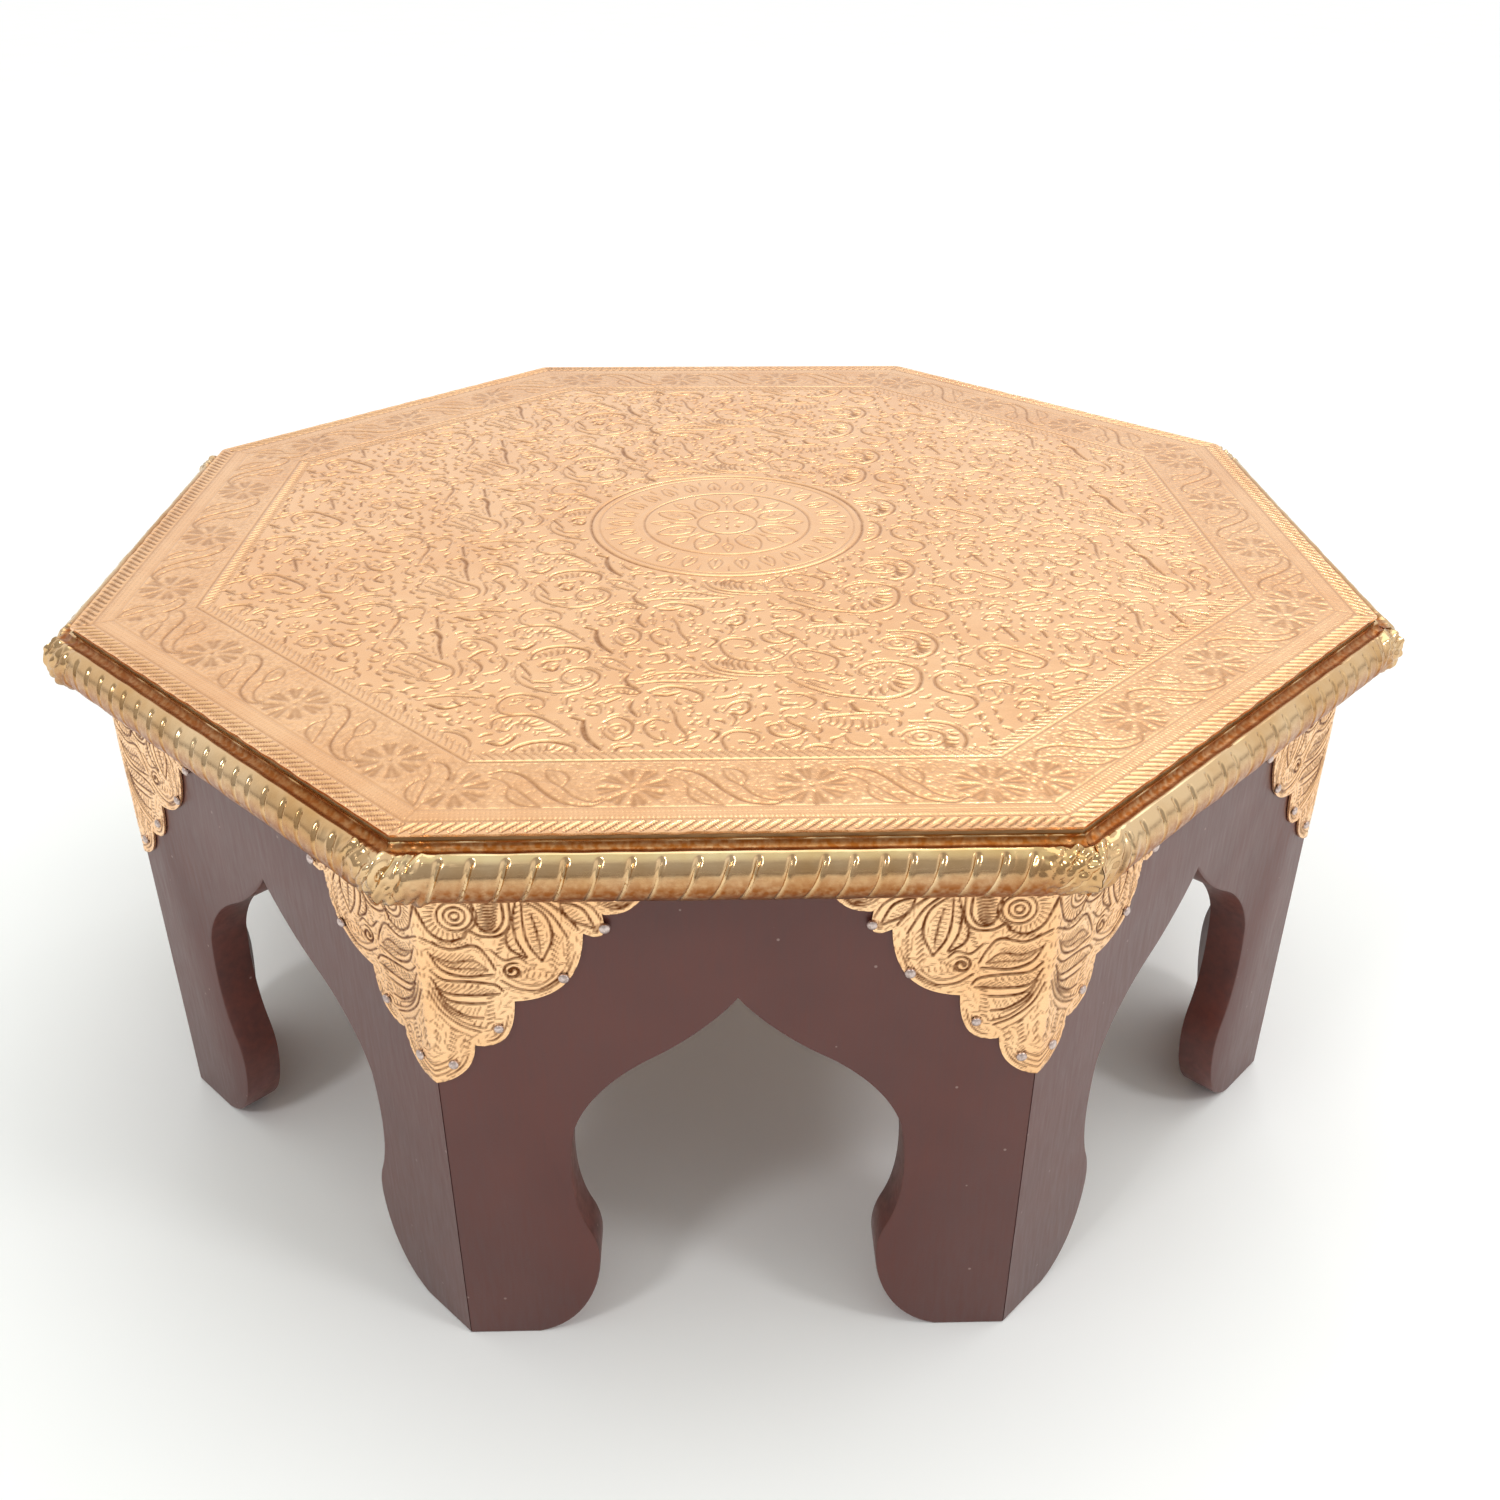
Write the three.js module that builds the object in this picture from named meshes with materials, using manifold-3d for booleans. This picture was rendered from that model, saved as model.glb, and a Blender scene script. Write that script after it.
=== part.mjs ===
// Low octagonal table: an ogee-arched wooden stand under a board clad in embossed brass sheet.
// Millimetres, +Z up, origin on the floor under the middle of the table, one side facing -Y.
import * as THREE from 'three';
import { mergeVertices } from 'three/addons/utils/BufferGeometryUtils.js';
import Module from 'manifold-3d';

const wasm = await Module();
wasm.setup();

// ---- Driving dimensions ------------------------------------------------------------------
const SIDES = 8;
const TABLE_HEIGHT = 169;
const SHEET_RADIUS = 200;        // centre to a corner of the embossed sheet on top
const BODY_RADIUS = 194;         // centre to a corner of the stand, outside
const BRASS_THICK = 0.6;
const CLADDING_GAP = 0.3;        // between a brass skin and the wood behind it
const BOARD_THICK = 15;
const PANEL_THICK = 12;
const MITRE_GAP = 0.15;          // each end of a mitred piece stops this far short of the mitre
const ARCH_STEPS = 9;            // straight steps in each curve of the arch

const BEAD_RADIUS = 6.5;         // half-round worked on the edge of the board, in the wood
const BEAD_OUT = 0.5;            // its centre lies this far outside the sheet's edge
const BEAD_START = 62;           // degrees above level where the bead meets the cove
const COVE_RADIUS = 2.6;         // small hollow between the bead and the sheet's edge
const COVE_OUT = 2.1;
const COVE_DROP = 1;
const COVE_END = 300;            // degrees where the cove runs out into the bead
const LIP_IN = 4.2;              // the brass ends under the board, this far inside the sheet's edge

const BLOCK_LEG = 22;            // corner block: run along each panel
const BLOCK_DEPTH = 10;          // and its depth square to the panel
const BLOCK_HEIGHT = 35;
const SCREW_LENGTH = 44;
const SCREW_RADIUS = 1.9;
const SCREW_HEAD_RADIUS = 3.8;
const SCREW_HEAD_HEIGHT = 2.4;
const SCREW_POINT = 5;
const SCREW_SEGMENTS = 12;
const SCREW_INSET = 9;           // from the block's outer corner to the screw's axis
const BORE_GAP = 0.3;

// ---- Worked out from them ----------------------------------------------------------------
const HALF_CORNER = Math.PI / SIDES;
const TAN = Math.tan(HALF_CORNER);
const COS = Math.cos(HALF_CORNER);
const SHEET_APOTHEM = SHEET_RADIUS * COS;
const BODY_APOTHEM = BODY_RADIUS * COS;
const FACE_HALF = BODY_APOTHEM * TAN;
const BOARD_TOP = TABLE_HEIGHT - BRASS_THICK;
const BOARD_BOTTOM = BOARD_TOP - BOARD_THICK;
const BEAD_Z = BOARD_BOTTOM + BEAD_RADIUS;
const SIDE_TURN = (2 * Math.PI) / SIDES;

const BRASS = { color: 0xe9b96e, roughness: 0.3, metalness: 1 };
const RIM_BRASS = { color: 0xc58f45, roughness: 0.25, metalness: 1 };
const PAINTED_WOOD = { color: 0x573a38, roughness: 0.75, metalness: 0 };
const RAW_WOOD = { color: 0xb08a5c, roughness: 0.85, metalness: 0 };
const STEEL = { color: 0x9a9690, roughness: 0.4, metalness: 1 };

const table = new THREE.Group();

// ---- Helpers -----------------------------------------------------------------------------
const point = (x, y) => new THREE.Vector2(x, y);
const radians = THREE.MathUtils.degToRad;

function addPiece(parent, name, geometry, material) {
  const mesh = new THREE.Mesh(geometry, new THREE.MeshStandardMaterial(material));
  mesh.name = name;
  parent.add(mesh);
  return mesh;
}

// A group turned so that its own -Y looks out of side number `index` (0 is the front).
function sideGroup(index) {
  const group = new THREE.Group();
  group.rotation.z = index * SIDE_TURN;
  table.add(group);
  return group;
}

// A group turned so that its own -Y looks out through the corner after side `index`.
function cornerGroup(index) {
  const group = new THREE.Group();
  group.rotation.z = (index + 0.5) * SIDE_TURN;
  table.add(group);
  return group;
}

function editPoints(geometry, edit) {
  const position = geometry.attributes.position;
  const vertex = new THREE.Vector3();
  for (let i = 0; i < position.count; i += 1) {
    edit(vertex.fromBufferAttribute(position, i));
    position.setXYZ(i, vertex.x, vertex.y, vertex.z);
  }
  return geometry;
}

function arcPoints(centreX, centreY, radius, fromDegrees, toDegrees, steps) {
  const points = [];
  for (let i = 0; i <= steps; i += 1) {
    const angle = radians(THREE.MathUtils.lerp(fromDegrees, toDegrees, i / steps));
    points.push(point(centreX + radius * Math.cos(angle), centreY + radius * Math.sin(angle)));
  }
  return points;
}

function toSolid(geometry) {
  const bare = geometry.clone();
  bare.deleteAttribute('normal');
  bare.deleteAttribute('uv');
  const merged = mergeVertices(bare, 1e-4);
  const vertProperties = new Float32Array(merged.attributes.position.array);
  const triVerts = new Uint32Array(merged.index.array);
  return new wasm.Manifold(new wasm.Mesh({ numProp: 3, vertProperties, triVerts }));
}

function toGeometry(solid) {
  const mesh = solid.getMesh();
  const geometry = new THREE.BufferGeometry();
  geometry.setAttribute('position', new THREE.BufferAttribute(mesh.vertProperties, 3));
  geometry.setIndex(new THREE.BufferAttribute(mesh.triVerts, 1));
  geometry.computeVertexNormals();
  return geometry;
}

// An octagonal plate from a profile of (distance from the middle to a side, height).
function octagonPlate(profile) {
  const toCorners = profile.map((p) => point(p.x / COS, p.y));
  const geometry = new THREE.LatheGeometry(toCorners, SIDES, HALF_CORNER);
  return geometry.rotateX(Math.PI / 2);
}

// A strip along one side from a profile of (distance from the middle, height), mitred at both ends.
function mitredStrip(profile) {
  const options = { depth: 1, bevelEnabled: false };
  const geometry = new THREE.ExtrudeGeometry(new THREE.Shape(profile), options);
  return editPoints(geometry, (v) => {
    const end = v.z < 0.5 ? 1 : -1;
    v.set(end * (v.x * TAN - MITRE_GAP), -v.x, v.y);
  });
}

// ---- Edge moulding: cove and bead, at a distance out from the wood ---------------------------
function mouldingCurve(outset) {
  const coveX = SHEET_APOTHEM + COVE_OUT;
  const coveZ = BOARD_TOP - COVE_DROP;
  const beadX = SHEET_APOTHEM + BEAD_OUT;
  return [
    ...arcPoints(coveX, coveZ, COVE_RADIUS - outset, 180, COVE_END, 5),
    ...arcPoints(beadX, BEAD_Z, BEAD_RADIUS + outset, BEAD_START, -90, 9),
  ];
}

// ---- Top board and the sheet that covers it ------------------------------------------------
const boardProfile = [
  point(0, BOARD_BOTTOM),
  ...mouldingCurve(0).reverse(),
  point(SHEET_APOTHEM + COVE_OUT - COVE_RADIUS, BOARD_TOP),
  point(0, BOARD_TOP),
];
const screwDistance = (BODY_APOTHEM - PANEL_THICK - CLADDING_GAP) / COS - SCREW_INSET;
const screwTop = BOARD_BOTTOM - BLOCK_HEIGHT + SCREW_LENGTH;

function cylinderTool(radius, bottom, top) {
  const geometry = new THREE.CylinderGeometry(radius, radius, top - bottom, SCREW_SEGMENTS);
  geometry.rotateX(Math.PI / 2);
  return geometry.translate(0, 0, (top + bottom) / 2);
}

function drilledBoard() {
  let board = toSolid(octagonPlate(boardProfile));
  const pilot = cylinderTool(SCREW_RADIUS + BORE_GAP, BOARD_BOTTOM - 1, screwTop + BORE_GAP);
  for (let i = 0; i < SIDES; i += 1) {
    const angle = (i + 0.5) * SIDE_TURN;
    const x = screwDistance * Math.sin(angle);
    const y = -screwDistance * Math.cos(angle);
    board = board.subtract(toSolid(pilot.clone().translate(x, y, 0)));
  }
  return toGeometry(board);
}
addPiece(table, 'top_board', drilledBoard(), RAW_WOOD);

const sheetProfile = [
  point(0, BOARD_TOP),
  point(SHEET_APOTHEM, BOARD_TOP),
  point(SHEET_APOTHEM, TABLE_HEIGHT),
  point(0, TABLE_HEIGHT),
];
addPiece(table, 'top_sheet', octagonPlate(sheetProfile), BRASS);

// ---- Rim strips: sheet brass dressed over the moulding, one to a side ------------------------
function rimStripGeometry() {
  const inner = mouldingCurve(CLADDING_GAP);
  const outer = mouldingCurve(CLADDING_GAP + BRASS_THICK);
  const lipX = SHEET_APOTHEM - LIP_IN;
  inner.push(point(lipX, BOARD_BOTTOM - CLADDING_GAP));
  outer.push(point(lipX, BOARD_BOTTOM - CLADDING_GAP - BRASS_THICK));
  return mitredStrip([...outer, ...inner.reverse()]);
}

// ---- Side panels: boards with an ogee arch, mitred to each other -----------------------------
// Half of the arch from its point to the sole of the leg, as (distance from the middle, height).
function archHalf() {
  const half = new THREE.CurvePath();
  const apex = point(0, 117);
  const shoulder = point(21, 98.8);
  const cusp = point(41.5, 75.5);
  const waist = point(38.9, 38.5);
  const ankle = point(37.2, 26.5);
  const sole = point(55, 0);
  half.add(new THREE.CubicBezierCurve(apex, point(5, 110.5), point(13, 103.5), shoulder));
  half.add(new THREE.CubicBezierCurve(shoulder, point(29, 94.2), point(38, 86), cusp));
  half.add(new THREE.CubicBezierCurve(cusp, point(44, 62), point(43.4, 48), waist));
  half.add(new THREE.CubicBezierCurve(waist, point(37.6, 35.5), point(36.7, 31), ankle));
  half.add(new THREE.CubicBezierCurve(ankle, point(38.2, 14), point(44, 2.5), sole));
  return half.getPoints(ARCH_STEPS);
}

function sidePanelGeometry() {
  const right = archHalf();
  const left = right.slice(1).map((p) => point(-p.x, p.y)).reverse();
  const outline = [
    point(-FACE_HALF, 0),
    ...left,
    ...right,
    point(FACE_HALF, 0),
    point(FACE_HALF, BOARD_BOTTOM),
    point(-FACE_HALF, BOARD_BOTTOM),
  ];
  const options = { depth: PANEL_THICK, bevelEnabled: false };
  const geometry = new THREE.ExtrudeGeometry(new THREE.Shape(outline), options);
  geometry.rotateX(Math.PI / 2);
  geometry.translate(0, PANEL_THICK - BODY_APOTHEM, 0);
  return editPoints(geometry, (v) => {
    if (Math.abs(v.x) > FACE_HALF - 1) {
      v.x = Math.sign(v.x) * (-v.y * TAN - MITRE_GAP);
    }
  });
}

// ---- Corner brackets: scalloped brass folded round each corner -------------------------------
// Each lobe ends at a cusp; `pull` draws its curve outwards. Pairs are (from the fold, height).
const BRACKET_TIP = [0, 92.7];
const BRACKET_LOBES = [
  { pull: [9.8, 95.2], cusp: [10.3, 104.8] },
  { pull: [20.2, 102.5], cusp: [20.9, 118.3] },
  { pull: [37.2, 119], cusp: [38.2, 138.2] },
  { pull: [44.6, 134.2], cusp: [42.8, 143.5] },
  { pull: [49, 142.6], cusp: [53.2, 149] },
];
const LOBE_STEPS = 6;

function bracketHalf() {
  const shape = new THREE.Shape();
  shape.moveTo(...BRACKET_TIP);
  for (const lobe of BRACKET_LOBES) {
    shape.quadraticCurveTo(...lobe.pull, ...lobe.cusp);
  }
  shape.lineTo(0, BRACKET_LOBES.at(-1).cusp[1]);
  const options = { depth: BRASS_THICK, bevelEnabled: false, curveSegments: LOBE_STEPS };
  const geometry = new THREE.ExtrudeGeometry(shape, options);
  // From (along the face, height, out) to the corner's own frame, mitred on the fold.
  return editPoints(geometry, (v) => {
    const out = v.z + CLADDING_GAP;
    const onFold = v.x < 1e-6;
    const along = onFold ? -out * TAN : v.x;
    const x = along * COS + out * Math.sin(HALF_CORNER);
    const y = along * Math.sin(HALF_CORNER) - out * COS;
    v.set(onFold ? 0 : x, y - BODY_RADIUS, v.y);
  });
}

function bracketGeometry() {
  const right = toSolid(bracketHalf());
  return toGeometry(right.add(right.mirror([1, 0, 0])));
}

// ---- Corner blocks and the screws that hold the top on ---------------------------------------
function blockGeometry() {
  const corner = point(0, -(BODY_APOTHEM - PANEL_THICK - CLADDING_GAP) / COS);
  const along = point(COS, Math.sin(HALF_CORNER));
  const inward = point(-Math.sin(HALF_CORNER), COS);
  const outerRight = corner.clone().addScaledVector(along, BLOCK_LEG);
  const innerRight = outerRight.clone().addScaledVector(inward, BLOCK_DEPTH);
  const outline = [
    corner,
    outerRight,
    innerRight,
    point(-innerRight.x, innerRight.y),
    point(-outerRight.x, outerRight.y),
  ];
  const options = { depth: BLOCK_HEIGHT, bevelEnabled: false };
  const geometry = new THREE.ExtrudeGeometry(new THREE.Shape(outline), options);
  geometry.translate(0, 0, BOARD_BOTTOM - BLOCK_HEIGHT);
  const bottom = BOARD_BOTTOM - BLOCK_HEIGHT;
  const bore = cylinderTool(SCREW_RADIUS + BORE_GAP, bottom - 1, BOARD_BOTTOM + 1);
  const sink = cylinderTool(SCREW_HEAD_RADIUS + BORE_GAP, bottom - 1, bottom + SCREW_HEAD_HEIGHT);
  bore.translate(0, -screwDistance, 0);
  sink.translate(0, -screwDistance, 0);
  return toGeometry(toSolid(geometry).subtract(toSolid(bore)).subtract(toSolid(sink)));
}

function screwGeometry() {
  const profile = [
    point(0, 0),
    point(SCREW_HEAD_RADIUS, 0),
    point(SCREW_HEAD_RADIUS, SCREW_HEAD_HEIGHT * 0.4),
    point(SCREW_RADIUS, SCREW_HEAD_HEIGHT - BORE_GAP),
    point(SCREW_RADIUS, SCREW_LENGTH - SCREW_POINT),
    point(0, SCREW_LENGTH),
  ];
  const geometry = new THREE.LatheGeometry(profile, SCREW_SEGMENTS);
  geometry.rotateX(Math.PI / 2);
  return geometry.translate(0, -screwDistance, BOARD_BOTTOM - BLOCK_HEIGHT);
}

// ---- Assembly ------------------------------------------------------------------------------
for (let i = 0; i < SIDES; i += 1) {
  const side = sideGroup(i);
  const corner = cornerGroup(i);
  const number = i + 1;
  addPiece(side, `side_panel_${number}`, sidePanelGeometry(), PAINTED_WOOD);
  addPiece(side, `rim_strip_${number}`, rimStripGeometry(), RIM_BRASS);
  addPiece(corner, `corner_bracket_${number}`, bracketGeometry(), BRASS);
  addPiece(corner, `corner_block_${number}`, blockGeometry(), RAW_WOOD);
  addPiece(corner, `block_screw_${number}`, screwGeometry(), STEEL);
}

export default table;
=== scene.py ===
# %% [markdown]
# # A low octagonal table in embossed brass and painted wood
# The table is a ring of eight mitred boards with ogee arches, under a board whose moulded edge
# and flat top are dressed in thin brass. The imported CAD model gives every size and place. This
# lesson makes the surfaces around it: chased ornament, ribbed rim strips, scalloped corner
# plates, round-head pins and matt paint. It works in millimetres and writes metres at the end.

# %% Load the frame
import math
from functools import partial

import bpy
import numpy as np
from mathutils import Matrix, Vector


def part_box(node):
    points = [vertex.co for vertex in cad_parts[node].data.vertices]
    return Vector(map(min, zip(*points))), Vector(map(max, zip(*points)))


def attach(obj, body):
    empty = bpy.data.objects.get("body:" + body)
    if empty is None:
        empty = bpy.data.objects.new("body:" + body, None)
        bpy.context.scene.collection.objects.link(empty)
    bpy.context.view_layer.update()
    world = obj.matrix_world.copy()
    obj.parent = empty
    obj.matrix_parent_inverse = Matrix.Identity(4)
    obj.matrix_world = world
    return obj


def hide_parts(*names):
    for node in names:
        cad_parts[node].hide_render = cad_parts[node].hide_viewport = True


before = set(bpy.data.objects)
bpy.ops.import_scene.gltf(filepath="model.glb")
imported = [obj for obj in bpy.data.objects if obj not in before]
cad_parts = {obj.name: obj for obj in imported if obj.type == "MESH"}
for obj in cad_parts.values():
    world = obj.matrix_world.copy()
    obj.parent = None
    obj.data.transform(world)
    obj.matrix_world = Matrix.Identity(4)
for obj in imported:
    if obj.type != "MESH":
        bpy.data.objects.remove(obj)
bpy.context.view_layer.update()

# %% [markdown]
# ## Sizes taken from the frame
# Each driving size is read off the box of a CAD node, so the ornament always fits the part.
# An octagon with a flat side to the front has its apothem (centre to side) as its box's edge.

# %% Driving sizes in millimetres
MM = 0.001
SIDES = 8
HALF_CORNER = math.pi / SIDES
SIDE_TURN = 2 * HALF_CORNER
TAN = math.tan(HALF_CORNER)
COS = math.cos(HALF_CORNER)

SHEET_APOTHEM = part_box("top_sheet")[1].x / MM
TOP_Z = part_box("top_sheet")[1].z / MM
BOARD_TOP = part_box("top_sheet")[0].z / MM
BOARD_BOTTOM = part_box("top_board")[0].z / MM
RIM_APOTHEM = -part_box("rim_strip_1")[0].y / MM
BODY_APOTHEM = -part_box("side_panel_1")[0].y / MM
BRACKET_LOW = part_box("corner_bracket_1")[0].z / MM
BRACKET_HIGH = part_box("corner_bracket_1")[1].z / MM
print(f"sheet {2 * SHEET_APOTHEM:.1f} across, body {2 * BODY_APOTHEM:.1f}, height {TOP_Z:.1f}")

# %% [markdown]
# ## Small tools
# An operator acts on everything that is selected, and loading the frame leaves its nodes
# selected, so every step starts by clearing the selection. Long arrays of points go in and out
# of a mesh through numpy, which is far quicker than visiting vertices one by one.


# %% Selection, points and finishing
def only(*objects):
    """Selects these objects alone, the first of them active."""
    bpy.ops.object.select_all(action="DESELECT")
    for item in objects:
        item.select_set(True)
    bpy.context.view_layer.objects.active = objects[0]


def points_of(item):
    """A mesh's vertices as an array of millimetres."""
    flat = np.empty(len(item.data.vertices) * 3)
    item.data.vertices.foreach_get("co", flat)
    return flat.reshape(-1, 3) / MM


def move_points(item, points):
    item.data.vertices.foreach_set("co", (np.asarray(points) * MM).ravel())
    item.data.update()


def picked(item):
    """Which of a mesh's points are selected."""
    chosen = np.zeros(len(item.data.vertices), bool)
    item.data.vertices.foreach_get("select", chosen)
    return chosen


def flat_net(columns, rows, size=2 * MM):
    """A grid primitive; unless a size is given, its points run from -1 to 1 mm both ways."""
    bpy.ops.object.select_all(action="DESELECT")
    bpy.ops.mesh.primitive_grid_add(x_subdivisions=columns, y_subdivisions=rows, size=size)
    return bpy.context.object


def turn_faces_out(item):
    only(item)
    bpy.ops.object.mode_set(mode="EDIT")
    bpy.ops.mesh.select_all(action="SELECT")
    bpy.ops.mesh.normals_make_consistent(inside=False)
    bpy.ops.object.mode_set(mode="OBJECT")


def point_attribute(item, name, values):
    layer = item.data.attributes.new(name, "FLOAT", "POINT")
    layer.data.foreach_set("value", np.asarray(values, np.float32))


def own(item, name, material, slot, *nodes):
    """Names a finished piece, dresses it, hangs it under the root empty, and hides the CAD nodes it stands
    in for.
    """
    item.name = name
    item.data.name = name
    item.data.materials.clear()
    item.data.materials.append(material)
    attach(item, "root")
    if nodes:
        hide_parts(*nodes)
    return item


def turned(points, angle):
    """Points turned about the table's upright axis."""
    c, s = math.cos(angle), math.sin(angle)
    x, y, z = np.asarray(points).T
    return np.stack([c * x - s * y, s * x + c * y, z], axis=1)


# %% [markdown]
# ## Camera
# The table is seen from above its front edge, 30 degrees down and slightly to the left of the
# middle. The three direction vectors are worked out first, and the camera's matrix is built
# from them, because a camera looks along its own -Z with +Y up.

# %% Camera
CAMERA_PLACE = Vector((-5.5, -459.7, TOP_Z + 178.9)) * MM
CAMERA_YAW = math.radians(-1.657)
CAMERA_PITCH = math.radians(29.938)
CAMERA_ROLL = math.radians(0.234)
LENS = 35.775
SENSOR_WIDTH = 36
NEAREST_SEEN = 0.01

ahead = Vector((
    -math.sin(CAMERA_YAW) * math.cos(CAMERA_PITCH),
    math.cos(CAMERA_YAW) * math.cos(CAMERA_PITCH),
    -math.sin(CAMERA_PITCH),
))
level_right = Vector((math.cos(CAMERA_YAW), math.sin(CAMERA_YAW), 0))
level_up = level_right.cross(ahead)
right = level_right * math.cos(CAMERA_ROLL) + level_up * math.sin(CAMERA_ROLL)
up = level_up * math.cos(CAMERA_ROLL) - level_right * math.sin(CAMERA_ROLL)

bpy.ops.object.camera_add()
camera = bpy.context.object
camera.name = "camera"
camera.data.lens = LENS
camera.data.sensor_width = SENSOR_WIDTH
camera.data.clip_start = NEAREST_SEEN
camera.matrix_world = Matrix((
    (right.x, up.x, -ahead.x, CAMERA_PLACE.x),
    (right.y, up.y, -ahead.y, CAMERA_PLACE.y),
    (right.z, up.z, -ahead.z, CAMERA_PLACE.z),
    (0, 0, 0, 1),
))
bpy.context.scene.camera = camera
print("camera at", [round(v, 3) for v in CAMERA_PLACE])

# %% [markdown]
# ## Materials: one helper for nodes
# Every finish below starts from the real material and its usual values. Colours are written as
# the hex values a painter would pick, and one function turns them to the linear light that
# the renderer works in. One small function adds a node, sets it up, links it and hands back the
# socket that the next node needs.


# %% Colour and node helpers
def linear(hex_colour):
    """sRGB hex to linear RGBA."""
    channels = [int(hex_colour[i:i + 2], 16) / 255 for i in (1, 3, 5)]
    curve = [c / 12.92 if c <= 0.04045 else ((c + 0.055) / 1.055) ** 2.4 for c in channels]
    return (*curve, 1.0)


def add_node(tree, kind, inputs=(), take=None, **settings):
    """Adds a node, fills its inputs with values or links, and returns one of its outputs."""
    made = tree.nodes.new("ShaderNode" + kind)
    for name, value in settings.items():
        setattr(made, name, value)
    for key, value in dict(inputs).items():
        if isinstance(value, bpy.types.NodeSocket):
            tree.links.new(value, made.inputs[key])
        else:
            made.inputs[key].default_value = value
    return made.outputs[take] if take else next((s for s in made.outputs if s.enabled), None)


def new_material(name):
    """An empty material, a function that adds nodes to it, and Object coordinates in mm."""
    material = bpy.data.materials.new(name)
    material.use_nodes = True
    material.node_tree.nodes.clear()
    add = partial(add_node, material.node_tree)
    metres = add("TexCoord", take="Object")
    place = add("VectorMath", {0: metres, "Scale": 1 / MM}, operation="SCALE")
    return material, add, place


# %% [markdown]
# ## Brass, in three states of polish
# Sheet brass is yellow metal, bright where it is rubbed and brown where polish never reaches.
# The chased lines hold tarnish, so each chased piece carries an attribute that says how deep its
# surface lies, and the material browns and dulls by it. On the rim strips the same attribute
# mostly holds painted shade: it browns the lower half of the bead by its angle, and the hollow
# above it as tarnish. Under that lie broad cloudy stains about 26 mm across, polishing scratches
# 0.5 mm apart (real ones are finer, and would not show) and the small dents that thin sheet picks up.


# %% Brass
def brass(name, clean, stained, tarnish_and_shade_colour, roughness, dent_mm, tarnish_and_shade_low, tarnish_and_shade_high):
    """Sheet brass. Its point attribute drives tarnish between its low and high values: these are depths in
    mm on the chased sheets, and on the rim strips the attribute is mostly painted shade.
    """
    material, add, place = new_material(name)
    groove = add("Attribute", attribute_name="groove", take="Fac")
    depth = add("MapRange", {"Value": groove, "From Min": tarnish_and_shade_low, "From Max": tarnish_and_shade_high})
    speckle = add("TexNoise", {"Vector": place, "Scale": 1 / 1.6, "Detail": 4, "Roughness": 0.5})
    patches = add("MapRange", {"Value": speckle, "From Min": 0.3, "From Max": 0.6, "To Min": 0.65})
    # On the chased sheets this amount is tarnish in the lines; on the rim strips it is mostly painted shade
    # on the lower bead.
    tarnish_and_shade_amount = add("Math", {0: depth, 1: patches}, operation="MULTIPLY")
    stains = add("TexNoise", {"Vector": place, "Scale": 1 / 26, "Detail": 4, "Roughness": 0.6})
    cloud = add("MapRange", {"Value": stains, "From Min": 0.38, "From Max": 0.68})
    body = add("Mix", {"Factor": cloud, "A": linear(clean), "B": linear(stained)}, data_type="RGBA")
    colour = add("Mix", {"Factor": tarnish_and_shade_amount, "A": body, "B": linear(tarnish_and_shade_colour)}, data_type="RGBA")
    lie = {"Vector": place, "Scale": (0.12, 1.6, 1.0), "Rotation": (0, 0, math.radians(24))}
    scratch = add("TexNoise", {"Vector": add("Mapping", lie), "Scale": 1 / 0.55, "Detail": 2})
    rubbed = add("MapRange", {"Value": scratch, "From Min": 0.35, "From Max": 0.7,
                              "To Min": roughness - 0.05, "To Max": roughness + 0.08})
    gloss = add("Math", {0: tarnish_and_shade_amount, 1: 0.22, 2: rubbed}, operation="MULTIPLY_ADD")
    dent = add("TexNoise", {"Vector": place, "Scale": 1 / dent_mm, "Detail": 3, "Roughness": 0.55})
    dented = add("Bump", {"Height": dent, "Distance": 0.12 * MM, "Strength": 0.5})
    fine = add("Bump", {"Height": scratch, "Distance": 0.01 * MM, "Strength": 0.5, "Normal": dented})
    shader = add("BsdfPrincipled", {"Base Color": colour, "Metallic": 1.0, "Roughness": gloss,
                                    "Normal": fine})
    add("OutputMaterial", {"Surface": shader})
    return material


EMBOSSED_BRASS = brass("embossed_sheet_brass", "#FCCB9B", "#F3BC8A", "#A37148",
                       0.19, 3.2, 0.05, 0.36)
# The rim's darkest colour is both its tarnish and the painted shade on the lower bead.
RIM_BRASS = brass("dressed_rim_brass", "#E4C59A", "#CFA46E", "#965521", 0.16, 4.5, 0.1, 0.6)
PLATE_BRASS = brass("engraved_plate_brass", "#FDCF9F", "#F4BF8B", "#6A3817",
                    0.26, 2.6, 0.04, 0.26)

# %% [markdown]
# ## Paint, bare wood and steel
# The stand is brushed with a dark purple-brown paint. Brush drag runs along the board, the
# film is a little glossier on the flats, and dust specks stand in it. Where the arch was sawn,
# the paint soaks into end grain and looks redder. Inside, the board and blocks are bare softwood,
# pale between the darker growth rings. Pins and screws are drawn steel, dulled by handling until
# they keep only a soft glint.


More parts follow.
